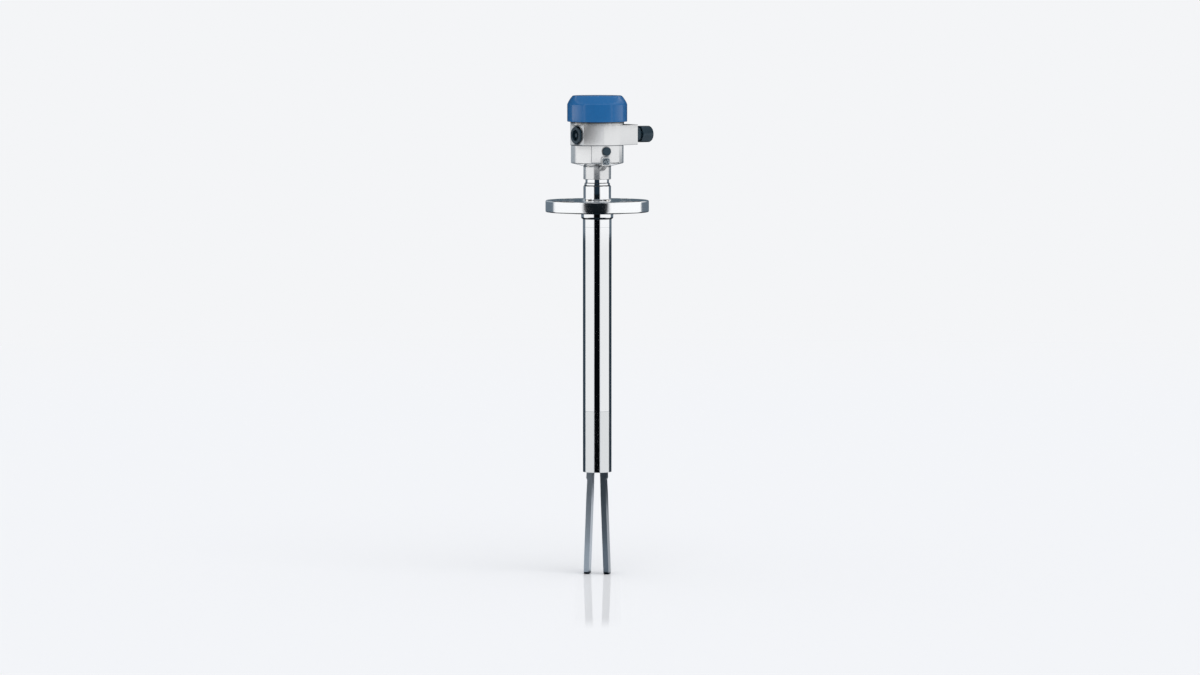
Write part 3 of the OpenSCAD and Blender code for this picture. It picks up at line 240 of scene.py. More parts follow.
# Cards that only reflections see, each at its radius in m: azimuths in degrees from the camera, growing to
# its right, heights in m, and how far its ends and its top fade. The near ones serve the head alone, because
# a satin paint blurs what is further off. Of two at one radius or so, the one named first is in front.
cards = {
    "flagNeck": {"radius": 0.20, "azimuths": (-26.6, 21.4), "heights": (0.021, 0.065), "soft": (3, 3),
                 "topFade": 0.004, "colour": "#202F3B"},
    "flagFlange": {"radius": 0.20, "azimuths": (-29, 24), "heights": (-0.004, 0.0212), "soft": (8, 8),
                   "topFade": 0.0002, "colour": "#0F161B"},
    "flagLid": {"radius": 0.20, "azimuths": (-50, 56), "heights": (0.127, 0.30), "soft": (14, 14),
                "topFade": 0.06, "colour": "#05070A"},
    "boxLidLeft": {"radius": 0.205, "azimuths": (-106, -36), "heights": (0.131, 0.172), "soft": (6, 50),
                   "topFade": 0.02, "colour": "#FFF9F0", "strength": 2.0},
    "boxLidRight": {"radius": 0.205, "azimuths": (46, 109), "heights": (0.131, 0.172), "soft": (45, 6),
                    "topFade": 0.02, "colour": "#FFF9F0", "strength": 1.4},
    "flagLidLeft": {"radius": 0.21, "azimuths": (-178, -48), "heights": (0.127, 0.30), "soft": (10, 2),
                    "topFade": 0.03, "colour": "#05070A"},
    "flagLidRight": {"radius": 0.21, "azimuths": (54, 178), "heights": (0.127, 0.30), "soft": (2, 10),
                     "topFade": 0.1, "colour": "#05070A"},
    "flagBand": {"radius": 0.22, "azimuths": (-96, 40), "heights": (0.095, 0.129), "soft": (6, 96),
                 "topFade": 0.003, "colour": "#05080B"},
    "boxCup": {"radius": 0.23, "azimuths": (-30, 28), "heights": (0.067, 0.096), "soft": (6, 6),
               "topFade": 0.002, "colour": "#FFFFFF", "strength": 1.25},
    "flagFront": {"radius": 0.75, "azimuths": (-25.6, 22.4), "heights": (-0.53, 0.005), "soft": (3, 3),
                  "topFade": 0.01, "colour": "#05070A"},
    "flagLeft": {"radius": 0.76, "azimuths": (-170, -105), "heights": (-0.53, -0.06), "topFade": 0.02,
                 "colour": "#34424D"},
    "flagLeftMiddle": {"radius": 0.765, "azimuths": (-170, -108), "heights": (-0.09, 0.035), "topFade": 0.01,
                       "colour": "#6C7984"},
    "flagLeftUpper": {"radius": 0.77, "azimuths": (-170, -108), "heights": (-0.09, 0.62), "topFade": 0.1,
                      "colour": "#A4AEB6"},
    "flagRight": {"radius": 0.76, "azimuths": (105, 170), "heights": (-0.49, -0.06), "topFade": 0.02,
                  "colour": "#2B3741"},
    "flagRightMiddle": {"radius": 0.77, "azimuths": (109, 170), "heights": (-0.09, 0.07), "topFade": 0.02,
                        "colour": "#66737E"},
    "flagRightUpper": {"radius": 0.78, "azimuths": (136, 170), "heights": (0.05, 0.62), "topFade": 0.1,
                       "colour": "#66737E"},
    "flagBack": {"radius": 0.79, "azimuths": (168, 192), "heights": (-0.12, 0.35), "soft": (2, 2),
                 "topFade": 0.1, "colour": "#55646F"},
    "boxLeft": {"radius": 0.80, "azimuths": (-107, -27), "heights": (-0.53, -0.04), "soft": (6, 6),
                "topFade": 0.06, "colour": "#FFFFFF", "strength": 0.96},
    "boxLeftMiddle": {"radius": 0.81, "azimuths": (-107, -27), "heights": (-0.11, 0.022), "soft": (6, 6),
                      "topFade": 0.01, "colour": "#FFFFFF", "strength": 1.07},
    "boxLeftUpper": {"radius": 0.82, "azimuths": (-107, -27), "heights": (-0.02, 0.95), "soft": (6, 6),
                     "topFade": 0.2, "colour": "#FFFFFF", "strength": 1.22},
    "boxRight": {"radius": 0.80, "azimuths": (24, 142), "heights": (-0.53, -0.04), "soft": (6, 6),
                 "topFade": 0.06, "colour": "#FFFFFF", "strength": 0.96},
    "boxRightUpper": {"radius": 0.82, "azimuths": (24, 142), "heights": (-0.11, 0.95), "soft": (6, 6),
                      "topFade": 0.2, "colour": "#FFFFFF", "strength": 1.09},
    "glint": {"radius": 0.84, "azimuths": (122, 139), "heights": (0.72, 0.98), "soft": (3, 3),
              "topFade": 0.04, "colour": "#FFFFFF", "strength": 7.0},
}
plainCard = {"soft": (5, 5), "strength": 1.0, "steps": 48}


def cardShaders(tree, setup):
    # A card's own glow, and the clear that takes over where it doesn't show
    glow = addNode(tree, "ShaderNodeEmission",
                   {"Color": hexColour(setup["colour"]), "Strength": setup["strength"]})
    return glow.outputs[0], addNode(tree, "ShaderNodeBsdfTransparent").outputs[0]


def endCard(card, tree, surface):
    addNode(tree, "ShaderNodeOutputMaterial", links={"Surface": surface})
    hideFromAllButGloss(card)


def makeCard(name, setup):
    steps, (low, high), (first, last) = setup["steps"], setup["heights"], setup["azimuths"]
    points = [point for height in (low, high)
              for point in arcPoints(setup["radius"], height, (first, last), steps)]
    card, tree = addCard(name, points, stripFaces(steps), name + "Cloth")
    across = card.data.uv_layers.new(name="across")
    for face in card.data.polygons:
        for corner, vertex in zip(face.loop_indices, face.vertices):
            across.data[corner].uv = ((vertex % (steps + 1)) / steps, vertex // (steps + 1))
    ways = splitAxes(tree, addNode(tree, "ShaderNodeUVMap", {"uv_map": "across"}).outputs[0])
    # A card shows only on its inner side, and its ends and its top fade out
    cover = addNode(tree, "ShaderNodeNewGeometry").outputs["Backfacing"]
    left, right = (soft / (last - first) for soft in setup["soft"])
    top = setup["topFade"] / (high - low)
    for axis, start, end in (("X", 0.0, left), ("X", 1.0, 1 - right), ("Y", 1.0, 1 - top)):
        cover = compute(tree, "MULTIPLY", cover, remap(tree, ways[axis], start, end))
    glow, clear = cardShaders(tree, setup)
    endCard(card, tree, mixShaders(tree, cover, clear, glow))


# Sheets that only reflections see, each on one side. A disc lies under the fork, and a wide ring just below the
# flange darkens its underside alone: it falls away faster than the camera's own rays, so that no upright face
# mirrors it, and its outer part fades out. The canopy faces down, over the lid. The floor sheets carry the dark
# cards on towards the fork for views from above, and vanish for rays that come in flat. Sizes are in m, falls
# and azimuths in degrees.
overFloor = cadLow.z - studio["floorGap"] / 2
plainSheet = {"inner": 0.0, "fall": 0.0, "azimuths": (0, 360), "strength": 1.0, "steps": 64}
floorSheet = {"inner": 0.22, "outer": 1.0, "height": overFloor, "facing": (0.78, 0.86)}
sheets = {
    "discUnderFork": {"outer": 0.032, "height": overFloor, "colour": "#161E25"},
    "ringUnderFlange": {"inner": 0.0205, "outer": 0.25, "height": -0.016, "fall": 9.0, "colour": "#161E25",
                        "fade": (0.125, 0.155)},
    "canopyOverLid": {"outer": 0.20, "height": 0.30, "colour": "#98A0A7", "faceDown": True},
    "sheetFront": dict(floorSheet, colour="#05070A", azimuths=(-25.6, 22.4)),
    "sheetLeft": dict(floorSheet, colour="#34424D", azimuths=(-170, -105)),
    "sheetRight": dict(floorSheet, colour="#2B3741", azimuths=(105, 170)),
    "sheetBack": dict(floorSheet, colour="#55646F", azimuths=(170, 190)),
}


def makeSheet(name, setup):
    steps = setup["steps"]
    points = []
    for radius in (setup["outer"], setup["inner"]):
        height = setup["height"] - radius * math.tan(math.radians(setup["fall"]))
        points += arcPoints(radius, height, setup["azimuths"], steps)
    if setup["inner"] > 0:
        faces = stripFaces(steps)
    else:
        points, faces = points[:steps], [list(range(steps))]
    if setup.get("faceDown"):
        faces = [face[::-1] for face in faces]
    sheet, tree = addCard(name, points, faces, name + "Cloth")
    hidden = addNode(tree, "ShaderNodeNewGeometry").outputs["Backfacing"]
    if "facing" in setup:
        hidden = compute(tree, "MAXIMUM", hidden, remap(tree, facing(tree), *setup["facing"]))
    if "fade" in setup:
        place = addNode(tree, "ShaderNodeTexCoord").outputs["Object"]
        away = addNode(tree, "ShaderNodeVectorMath", {"operation": "LENGTH"}, {0: place}).outputs["Value"]
        hidden = compute(tree, "MAXIMUM", hidden, remap(tree, away, *setup["fade"]))
    glow, clear = cardShaders(tree, setup)
    endCard(sheet, tree, mixShaders(tree, hidden, glow, clear))


makeSky()
makeLamp()
makeFloor()
for name, setup in sheets.items():
    makeSheet(name, plainSheet | setup)
for name, setup in cards.items():
    makeCard(name, plainCard | setup)
bpy.context.scene.view_settings.view_transform = "Standard"
print("studio ready")


def startFinish(name, settings):
    # A Principled shader with its constants, and Object coordinates in millimetres to lay patterns out
    material = bpy.data.materials.new(name)
    material.use_nodes = True
    tree = material.node_tree
    tree.nodes.clear()
    shader = addNode(tree, "ShaderNodeBsdfPrincipled", settings)
    addNode(tree, "ShaderNodeOutputMaterial", links={"Surface": shader.outputs[0]})
    place = addNode(tree, "ShaderNodeTexCoord")
    inMillimetres = addNode(tree, "ShaderNodeMapping", {"Scale": (1 / mm, 1 / mm, 1 / mm)},
                            {"Vector": place.outputs["Object"]})
    return material, tree, shader, inMillimetres.outputs[0]


def noise(tree, place, size, detail, settings=None):
    return addNode(tree, "ShaderNodeTexNoise", {"Scale": 1 / size, "Detail": detail, **(settings or {})},
                   {"Vector": place}).outputs["Fac"]


def turnedNoise(tree, place, look):
    # Noise drawn out round the probe's axis, as a mop or a belt leaves it
    drawn = addNode(tree, "ShaderNodeMapping", {"Scale": (look["drawn"], look["drawn"], 1 / look["pitch"])},
                    {"Vector": place})
    return noise(tree, drawn.outputs[0], 1.0, look["detail"], {"Roughness": look["grain"]})


def blend(tree, share, first, second):
    # Two colours mixed, each of them an sRGB hex or a socket
    node = addNode(tree, "ShaderNodeMix", {"data_type": "RGBA"}, {0: share})
    for slot, colour in ((node.inputs[6], first), (node.inputs[7], second)):
        if isinstance(colour, str):
            slot.default_value = hexColour(colour)
        else:
            tree.links.new(colour, slot)
    return node.outputs[2]


def paint(tree, shader, colour):
    tree.links.new(colour, shader.inputs["Base Color"])


def roughen(tree, shader, pattern, span):
    tree.links.new(remap(tree, pattern, 0.0, 1.0, *span, "LINEAR"), shader.inputs["Roughness"])


def emboss(tree, shader, pattern, bump, edge=None, samples=4):
    # A bump from a pattern, by its strength and its depth in mm, laid over edges rounded at a radius in mm
    node = addNode(tree, "ShaderNodeBump", {"Strength": bump[0], "Distance": bump[1] * mm}, {"Height": pattern})
    if edge:
        rounded = addNode(tree, "ShaderNodeBevel", {"samples": samples, "Radius": edge * mm})
        tree.links.new(rounded.outputs[0], node.inputs["Normal"])
    tree.links.new(node.outputs[0], shader.inputs["Normal"])


def unshadedShare(tree, samples, reach, span):
    # A mask for painted shade in corners: 1 on open faces, down to 0 in the corners within reach, in mm
    corner = addNode(tree, "ShaderNodeAmbientOcclusion", {"samples": samples, "Distance": reach * mm})
    return remap(tree, corner.outputs["AO"], *span, way="LINEAR")


polishedSteelLook = {"colour": "#ECEEF0", "seamColour": "#8E979E", "roughness": (0.035, 0.075), "pitch": 0.8,
                     "drawn": 0.02, "detail": 3.0, "grain": 0.5, "seamHalf": 0.35, "upperSeam": 0.35}


def makePolishedSteel():
    # Drawn stainless tube, mop polished: close to a mirror, with faint rings left by the mop
    look = polishedSteelLook
    material, tree, shader, place = startFinish("polishedSteel", {"Metallic": 1.0})
    roughen(tree, shader, turnedNoise(tree, place, look), look["roughness"])
    # The two ground weld seams of the tube show as fine dull lines
    height = splitAxes(tree, place)["Z"]
    lower, upper = (compute(tree, "COMPARE", height, end[2] / mm, look["seamHalf"])
                    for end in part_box("extension_tube"))
    seam = compute(tree, "MAXIMUM", lower, compute(tree, "MULTIPLY", upper, look["upperSeam"]))
    paint(tree, shader, blend(tree, seam, look["colour"], look["seamColour"]))
    return material


groundSteelLook = {"colour": "#DEE1E3", "roughness": (0.08, 0.14), "pitch": 0.35, "drawn": 0.03, "detail": 4.0,
                   "grain": 0.6, "bump": (0.06, 0.02)}


def makeGroundSteel():
    # Stainless tube, belt ground round its axis: the reflections stay, greyer and with a fine drag
    look = groundSteelLook
    material, tree, shader, place = startFinish("groundSteel", {"Base Color": hexColour(look["colour"]),
                                                                "Metallic": 1.0})
    grit = turnedNoise(tree, place, look)
    roughen(tree, shader, grit, look["roughness"])
    emboss(tree, shader, grit, look["bump"])
    return material


flangeSteelLook = {"colour": "#F0F2F4", "roughness": (0.09, 0.17), "cutPitch": 0.9, "blotchSize": 12.5,
                   "detail": 3.0, "bump": (0.08, 0.02), "edge": 0.5, "edgeSamples": 6}


def makeFlangeSteel():
    # Forged stainless plate, turned all over: the tool leaves rings round the axis
    look = flangeSteelLook
    material, tree, shader, place = startFinish("flangeSteel", {"Base Color": hexColour(look["colour"]),
                                                                "Metallic": 1.0})
    flat = addNode(tree, "ShaderNodeVectorMath", {"operation": "MULTIPLY", 1: (1, 1, 0)}, {0: place})
    radius = addNode(tree, "ShaderNodeVectorMath", {"operation": "LENGTH"}, {0: flat.outputs[0]})
    along = compute(tree, "ADD", radius.outputs["Value"], splitAxes(tree, place)["Z"])
    wave = compute(tree, "SINE", compute(tree, "MULTIPLY", along, 2 * math.pi / look["cutPitch"]))
    roughen(tree, shader, noise(tree, place, look["blotchSize"], look["detail"]), look["roughness"])
    emboss(tree, shader, wave, look["bump"], look["edge"], look["edgeSamples"])
    return material


forkSteelLook = {"colour": "#A3AFBA", "shadedColour": "#6B7782", "roughness": (0.24, 0.34), "beadSize": 0.45,
                 "detail": 2.0, "bump": (0.25, 0.05)}


def makeForkSteel(name, colour):
    # Cast stainless tines, bead blasted: an even satin grey
    look = forkSteelLook
    material, tree, shader, place = startFinish(name, {"Base Color": hexColour(colour), "Metallic": 1.0})
    beads = noise(tree, place, look["beadSize"], look["detail"])
    roughen(tree, shader, beads, look["roughness"])
    emboss(tree, shader, beads, look["bump"])
    return material


# Small turned or plated metal parts share one way of working, with their own colours
plainMetalLooks = {
    "machined_steel": {"name": "machinedSteel", "colour": "#CDD0D2", "roughness": 0.24, "markSize": 0.6},
    "terminal_steel": {"name": "zincPlate", "colour": "#9AA6AF", "roughness": 0.32, "markSize": 1.2},
    "contact_brass": {"name": "contactBrass", "colour": "#D9B25A", "roughness": 0.22, "markSize": 0.8},
}
plainMetalWork = {"cornerShadeColour": "#2B343B", "cornerReach": 2.0, "cornerSamples": 6, "cornerSpan": (0.4, 0.9),
                  "detail": 4.0, "roughnessSpan": (0.8, 1.3), "bump": (0.15, 0.03)}


def makePlainMetal(look):
    # Turned or plated metal: fine marks, a slightly cloudy gloss, and painted shade in the slots and corners
    work = plainMetalWork
    material, tree, shader, place = startFinish(look["name"], {"Metallic": 1.0})
    unshaded = unshadedShare(tree, work["cornerSamples"], work["cornerReach"], work["cornerSpan"])
    paint(tree, shader, blend(tree, unshaded, work["cornerShadeColour"], look["colour"]))
    marks = noise(tree, place, look["markSize"], work["detail"])
    roughen(tree, shader, marks, [look["roughness"] * share for share in work["roughnessSpan"]])
    emboss(tree, shader, marks, work["bump"])
    return material


# Its dark colour, with its reach, samples and span, is painted shade for the corners and the shade lines
housingPaintLook = {"colour": "#DDDEDF", "lowColour": "#D4D5D6", "flakeSize": 0.4, "flakeDetail": 2.0,
                    "paintedShade": "#333F49", "paintedShadeReach": 6.0, "paintedShadeSamples": 8, "paintedShadeSpan": (0.38, 0.84),
                    "shadeLineShare": 0.85, "metallic": 0.8, "roughness": 0.17, "coat": 0.2, "coatRoughness": 0.12,
                    "peelSize": 1.8, "peelDetail": 1.0, "bump": (0.12, 0.04), "edge": 0.35}
# Steps along which a line of painted shade runs: at a height in mm, or at an azimuth in degrees between two heights
shadeLines = {
    "underLid": {"at": 134.8, "width": 4.2},
    "underBand": {"at": 100.3, "width": 1.1},
    "padSide": {"at": -12.2, "width": 1.1, "heights": (75, 100)},
}


def shadeLineShare(tree, place):
    # How much painted shade the shade lines give at a point
    axes = splitAxes(tree, place)
    forward = compute(tree, "MULTIPLY", axes["Y"], -1.0)
    azimuth = compute(tree, "DEGREES", compute(tree, "ARCTAN2", axes["X"], forward))
    lineShade = None
    for shadeLine in shadeLines.values():
        along = azimuth if "heights" in shadeLine else axes["Z"]
        off = compute(tree, "ABSOLUTE", compute(tree, "SUBTRACT", along, shadeLine["at"]))
        near = remap(tree, off, 0.0, shadeLine["width"], housingPaintLook["shadeLineShare"], 0.0)
        if "heights" in shadeLine:
            low, high = shadeLine["heights"]
            inside = compute(tree, "COMPARE", axes["Z"], (low + high) / 2, (high - low) / 2)
            near = compute(tree, "MULTIPLY", near, inside)
        lineShade = near if lineShade is None else compute(tree, "MAXIMUM", lineShade, near)
    return lineShade


def makeHousingPaint():
    # Silver polyester paint on a casting: bright flake under a smooth film with orange peel
    look = housingPaintLook
    material, tree, shader, place = startFinish("silverPaint", {
        "Metallic": look["metallic"], "Roughness": look["roughness"], "Coat Weight": look["coat"],
        "Coat Roughness": look["coatRoughness"]})
    flake = noise(tree, place, look["flakeSize"], look["flakeDetail"])
    colour = blend(tree, flake, look["lowColour"], look["colour"])
    # Painted shade darkens the corners and recesses, such as the ledge under the lid
    unshaded = unshadedShare(tree, look["paintedShadeSamples"], look["paintedShadeReach"], look["paintedShadeSpan"])
    cornerShaded = blend(tree, unshaded, look["paintedShade"], colour)
    paint(tree, shader, blend(tree, shadeLineShare(tree, place), cornerShaded, look["paintedShade"]))
    peel = noise(tree, place, look["peelSize"], look["peelDetail"])
    emboss(tree, shader, peel, look["bump"], look["edge"])
    return material


lidPaintLook = {"colour": "#1B65A1", "lowColour": "#19609A", "cloudSize": 6.6667, "cloudDetail": 2.0,
                "roughness": 0.6, "specular": 0.1, "coat": 0.7, "coatRoughness": 0.13, "peelSize": 1.6,
                "peelDetail": 1.0, "bump": (0.15, 0.05), "edge": 0.4}


def makeLidPaint():
    # Blue powder coat on a casting: a deep even colour with a soft shine and orange peel
    look = lidPaintLook
    material, tree, shader, place = startFinish("bluePowderCoat", {
        "Roughness": look["roughness"], "Specular IOR Level": look["specular"], "Coat Weight": look["coat"],
        "Coat Roughness": look["coatRoughness"]})
    cloud = noise(tree, place, look["cloudSize"], look["cloudDetail"])
    paint(tree, shader, blend(tree, cloud, look["lowColour"], look["colour"]))
    peel = noise(tree, place, look["peelSize"], look["peelDetail"])
    emboss(tree, shader, peel, look["bump"], look["edge"])
    return material


# Moulded and fired parts share one way of working too: their grain, its depth and their edges are in mm
mouldedLooks = {
    "black_plastic": {"name": "blackPolyamide", "colour": "#1A2F3A", "lowColour": "#132630", "roughness": 0.28,
                      "grain": 0.5, "depth": 0.03, "edge": 0.3},
    "black_rubber": {"name": "blackRubber", "colour": "#1B1D1F", "lowColour": "#131415", "roughness": 0.62,
                     "grain": 0.35, "depth": 0.03, "edge": 0.2},
    "module_plastic": {"name": "darkGreyPolyamide", "colour": "#3B4147", "lowColour": "#343A40",
                       "roughness": 0.45, "grain": 0.45, "depth": 0.03, "edge": 0.3},
    "terminal_plastic": {"name": "greenPolyamide", "colour": "#2C4A3C", "lowColour": "#263F34",
                         "roughness": 0.45, "grain": 0.4, "depth": 0.02, "edge": 0.2},
    "relay_plastic": {"name": "bluePolyester", "colour": "#27415E", "lowColour": "#223A55", "roughness": 0.35,
                      "grain": 0.4, "depth": 0.02, "edge": 0.2},
    "white_plastic": {"name": "whitePolyamide", "colour": "#E9E9E6", "lowColour": "#E0E0DC", "roughness": 0.4,
                      "grain": 0.4, "depth": 0.02, "edge": 0.2},
    "lead_insulation": {"name": "siliconeInsulation", "colour": "#A8322B", "lowColour": "#962A25",
                        "roughness": 0.5, "grain": 0.3, "depth": 0.01, "edge": 0.1},
    "piezo_ceramic": {"name": "piezoCeramic", "colour": "#B9A984", "lowColour": "#A99A78", "roughness": 0.55,
                      "grain": 0.25, "depth": 0.02, "edge": 0.1},
    "white_ceramic": {"name": "aluminaCeramic", "colour": "#F0EEE8", "lowColour": "#E7E4DC", "roughness": 0.5,
                      "grain": 0.25, "depth": 0.02, "edge": 0.1},
}
mouldedWork = {"specular": 0.5, "tint": (0.7, 0.86, 1.0, 1.0), "detail": 3.0, "roughnessSpan": (0.85, 1.15),
               "strength": 0.3}


def makeMoulded(look):
    # A die's spark eroded grain, or a kiln's, and slightly uneven colour
    work = mouldedWork
    material, tree, shader, place = startFinish(look["name"], {"Specular IOR Level": work["specular"],
                                                               "Specular Tint": work["tint"]})
    grain = noise(tree, place, look["grain"], work["detail"])
    paint(tree, shader, blend(tree, grain, look["lowColour"], look["colour"]))
    roughen(tree, shader, grain, [look["roughness"] * share for share in work["roughnessSpan"]])
    emboss(tree, shader, grain, (work["strength"], look["depth"]), look["edge"])
    return material


boardLook = {"mask": "#1F6B3A", "trace": "#2E8A4E", "tracePitch": 1.6, "traceWidth": 0.3, "bendScale": 0.12,
             "bendReach": 12.0, "roughness": 0.3, "coat": 0.3}


def makeBoardLaminate():
    # Glass fibre laminate under solder mask: copper runs show through as lighter lines
    look = boardLook
    material, tree, shader, place = startFinish("solderMask", {"Roughness": look["roughness"],
                                                               "Coat Weight": look["coat"]})
    bend = addNode(tree, "ShaderNodeTexVoronoi", {"Scale": look["bendScale"], "distance": "CHEBYCHEV"},
                   {"Vector": place})
    step = compute(tree, "MULTIPLY_ADD", bend.outputs["Distance"], look["bendReach"], splitAxes(tree, place)["Z"])
    turns = compute(tree, "PINGPONG", step, look["tracePitch"] / 2)
    run = compute(tree, "LESS_THAN", turns, look["traceWidth"])
    paint(tree, shader, blend(tree, run, look["mask"], look["trace"]))
    return material


lampLook = {"colour": "#3FAE5A", "roughness": 0.12, "coat": 0.5, "swirlSize": 1.6667, "detail": 1.0,
            "bump": (0.1, 0.05)}


def makeLampPlastic():
    # Tinted acrylic lens: green and glossy, with a faint swirl from the mould
    look = lampLook
    material, tree, shader, place = startFinish("greenAcrylic", {
        "Base Color": hexColour(look["colour"]), "Roughness": look["roughness"], "Coat Weight": look["coat"]})
    emboss(tree, shader, noise(tree, place, look["swirlSize"], look["detail"]), look["bump"])
    return material


glassLook = {"colour": "#24524A", "lowColour": "#16352F", "roughness": 0.08, "coat": 0.4, "bubbleScale": 0.9}


def makeSealingGlass():
    # Pressed sealing glass, fired into its ring: dark green, with a rounded fired gloss
    look = glassLook
    material, tree, shader, place = startFinish("sealingGlass", {"Roughness": look["roughness"],
                                                                 "Coat Weight": look["coat"]})
    bubbles = addNode(tree, "ShaderNodeTexVoronoi", {"Scale": look["bubbleScale"]}, {"Vector": place})
    paint(tree, shader, blend(tree, bubbles.outputs["Distance"], look["lowColour"], look["colour"]))
    return material


finishes = {
    "polished_steel": makePolishedSteel(),
    "ground_steel": makeGroundSteel(),
    "flange_steel": makeFlangeSteel(),
    "fork_steel": makeForkSteel("blastedSteel", forkSteelLook["colour"]),
    "housing_paint": makeHousingPaint(),
    "lid_paint": makeLidPaint(),
    "board_laminate": makeBoardLaminate(),
    "lamp_plastic": makeLampPlastic(),
    "sealing_glass": makeSealingGlass(),
}
for slotName, look in plainMetalLooks.items():
    finishes[slotName] = makePlainMetal(look)
for slotName, look in mouldedLooks.items():
    finishes[slotName] = makeMoulded(look)

for nodeName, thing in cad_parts.items():
    for holder in thing.material_slots:
        holder.material = finishes[holder.material.name]
# The right tine gets a darker copy of the tine steel: painted shade
shadedTine = makeForkSteel("shadedTineSteel", forkSteelLook["shadedColour"])
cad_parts["tine_right"].material_slots[0].material = shadedTine
print("finishes laid on", len(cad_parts), "nodes")


def startTree(name, lengths, counts=(), vectors=()):
    # A node tree with one named input for each size, and the finish as its last input
    tree = bpy.data.node_groups.new(name, "GeometryNodeTree")
    tree.is_modifier = True
    tree.interface.new_socket("Geometry", in_out="OUTPUT", socket_type="NodeSocketGeometry")
    for labels, kind in ((lengths, "Float"), (counts, "Int"), (vectors, "Vector"), (("Finish",), "Material")):
        for label in labels:
            tree.interface.new_socket(label, in_out="INPUT", socket_type="NodeSocket" + kind)
    return tree, addNode(tree, "NodeGroupInput").outputs


def endTree(tree, sizes, geometry):
    real = addNode(tree, "GeometryNodeRealizeInstances", links={0: geometry})
    smooth = addNode(tree, "GeometryNodeSetShadeSmooth", links={0: real.outputs[0]})
    done = addNode(tree, "GeometryNodeSetMaterial", links={"Geometry": smooth.outputs[0],
                                                           "Material": sizes["Finish"]})
    addNode(tree, "NodeGroupOutput", links={"Geometry": done.outputs[0]})
    return tree


def lift(tree, geometry, height):
    up = addNode(tree, "ShaderNodeCombineXYZ", links={"Z": height})
    return addNode(tree, "GeometryNodeTransform", links={0: geometry, "Translation": up.outputs[0]}).outputs[0]


def circle(tree, radius, resolution):
    return addNode(tree, "GeometryNodeCurvePrimitiveCircle", {"Resolution": resolution},
                   {"Radius": radius}).outputs[0]


def sweep(tree, curve, profile, settings=None, links=None):
    return addNode(tree, "GeometryNodeCurveToMesh", settings,
                   {"Curve": curve, "Profile Curve": profile, **(links or {})}).outputs[0]


def spread(tree, curve, count):
    # Points at even steps along a curve
    return addNode(tree, "GeometryNodeCurveToPoints", {"mode": "COUNT"}, {"Curve": curve, "Count": count}).outputs


def copyOnto(tree, points, copied, links):
    return addNode(tree, "GeometryNodeInstanceOnPoints",
                   links={"Points": points, "Instance": copied, **links}).outputs[0]


def addPiece(name, shape, body, place):
    shape.name = name
    if place is not None:
        shape.transform(place)
    piece = addThing(name, shape)
    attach(piece, body)


def meshOf(holder):
    return bpy.data.meshes.new_from_object(holder.evaluated_get(bpy.context.evaluated_depsgraph_get()))


def bakePiece(name, tree, values, slotName, body, place=None):
    # Runs a tree with these values, keeps the result as a plain mesh and gives it to its body
    holder = addThing(name, bpy.data.meshes.new(name + "Holder"))
    modifier = holder.modifiers.new(name, "NODES")
    modifier.node_group = tree
    wanted = dict(values, Finish=finishes[slotName])
    for socket in tree.interface.items_tree:
        if socket.item_type == "SOCKET" and socket.in_out == "INPUT":
            modifier[socket.identifier] = wanted[socket.name]
    shape = meshOf(holder)
    holder.modifiers.remove(modifier)
    bpy.data.objects.remove(holder)
    addPiece(name, shape, body, place)


# How finely the curves are cut: corners to a circle or a turn
fineness = {"turn": 72, "ridge": 4, "weldRing": 128, "drop": (12, 8), "ring": 120, "cord": 10, "dialArc": 64}


def makeThreadTree():
    # One V ridge wound on a cylinder, running out to nothing at both ends
    tree, sizes = startTree("threadRidge", ("Radius", "Pitch", "Turns", "Ridge", "Start", "Run-out"))
    winding = addNode(tree, "GeometryNodeCurveSpiral", {"Resolution": fineness["turn"]},
                      {"Rotations": sizes["Turns"], "Start Radius": sizes["Radius"], "End Radius": sizes["Radius"],
                       "Height": compute(tree, "MULTIPLY", sizes["Pitch"], sizes["Turns"])})
    upright = addNode(tree, "GeometryNodeSetCurveNormal", {"mode": "Z_UP"}, {0: winding.outputs[0]})
    placed = lift(tree, upright.outputs[0], sizes["Start"])
    along = addNode(tree, "GeometryNodeSplineParameter").outputs["Factor"]
    fromMiddle = compute(tree, "ABSOLUTE", compute(tree, "SUBTRACT", along, 0.5))
    toEnd = compute(tree, "SUBTRACT", 0.5, fromMiddle)
    share = addNode(tree, "ShaderNodeMath", {"operation": "DIVIDE", "use_clamp": True},
                    {0: toEnd, 1: sizes["Run-out"]})
    profile = circle(tree, sizes["Ridge"], fineness["ridge"])
    return endTree(tree, sizes, sweep(tree, placed, profile, {"Fill Caps": True}, {"Scale": share.outputs[0]}))


# Places that the pieces share, in metres, read off the frame where a node's box gives them
armTurn = math.radians(34)
armEnd = 62.0 * mm
plugFlat = 35.5 * mm
portHeight = (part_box("gland_nut")[0][2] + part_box("gland_nut")[1][2]) / 2
onModule = Matrix.Rotation(armTurn, 4, "Z")


def onPort(azimuth, reach):
    # The place of a port, with its own Z pointing out of the housing
    return (Matrix.Rotation(azimuth, 4, "Z") @ Matrix.Translation((reach, 0, portHeight))
            @ Matrix.Rotation(math.radians(90), 4, "Y"))


onArm = onPort(armTurn, armEnd)
onPlug = onPort(armTurn + math.pi, plugFlat)

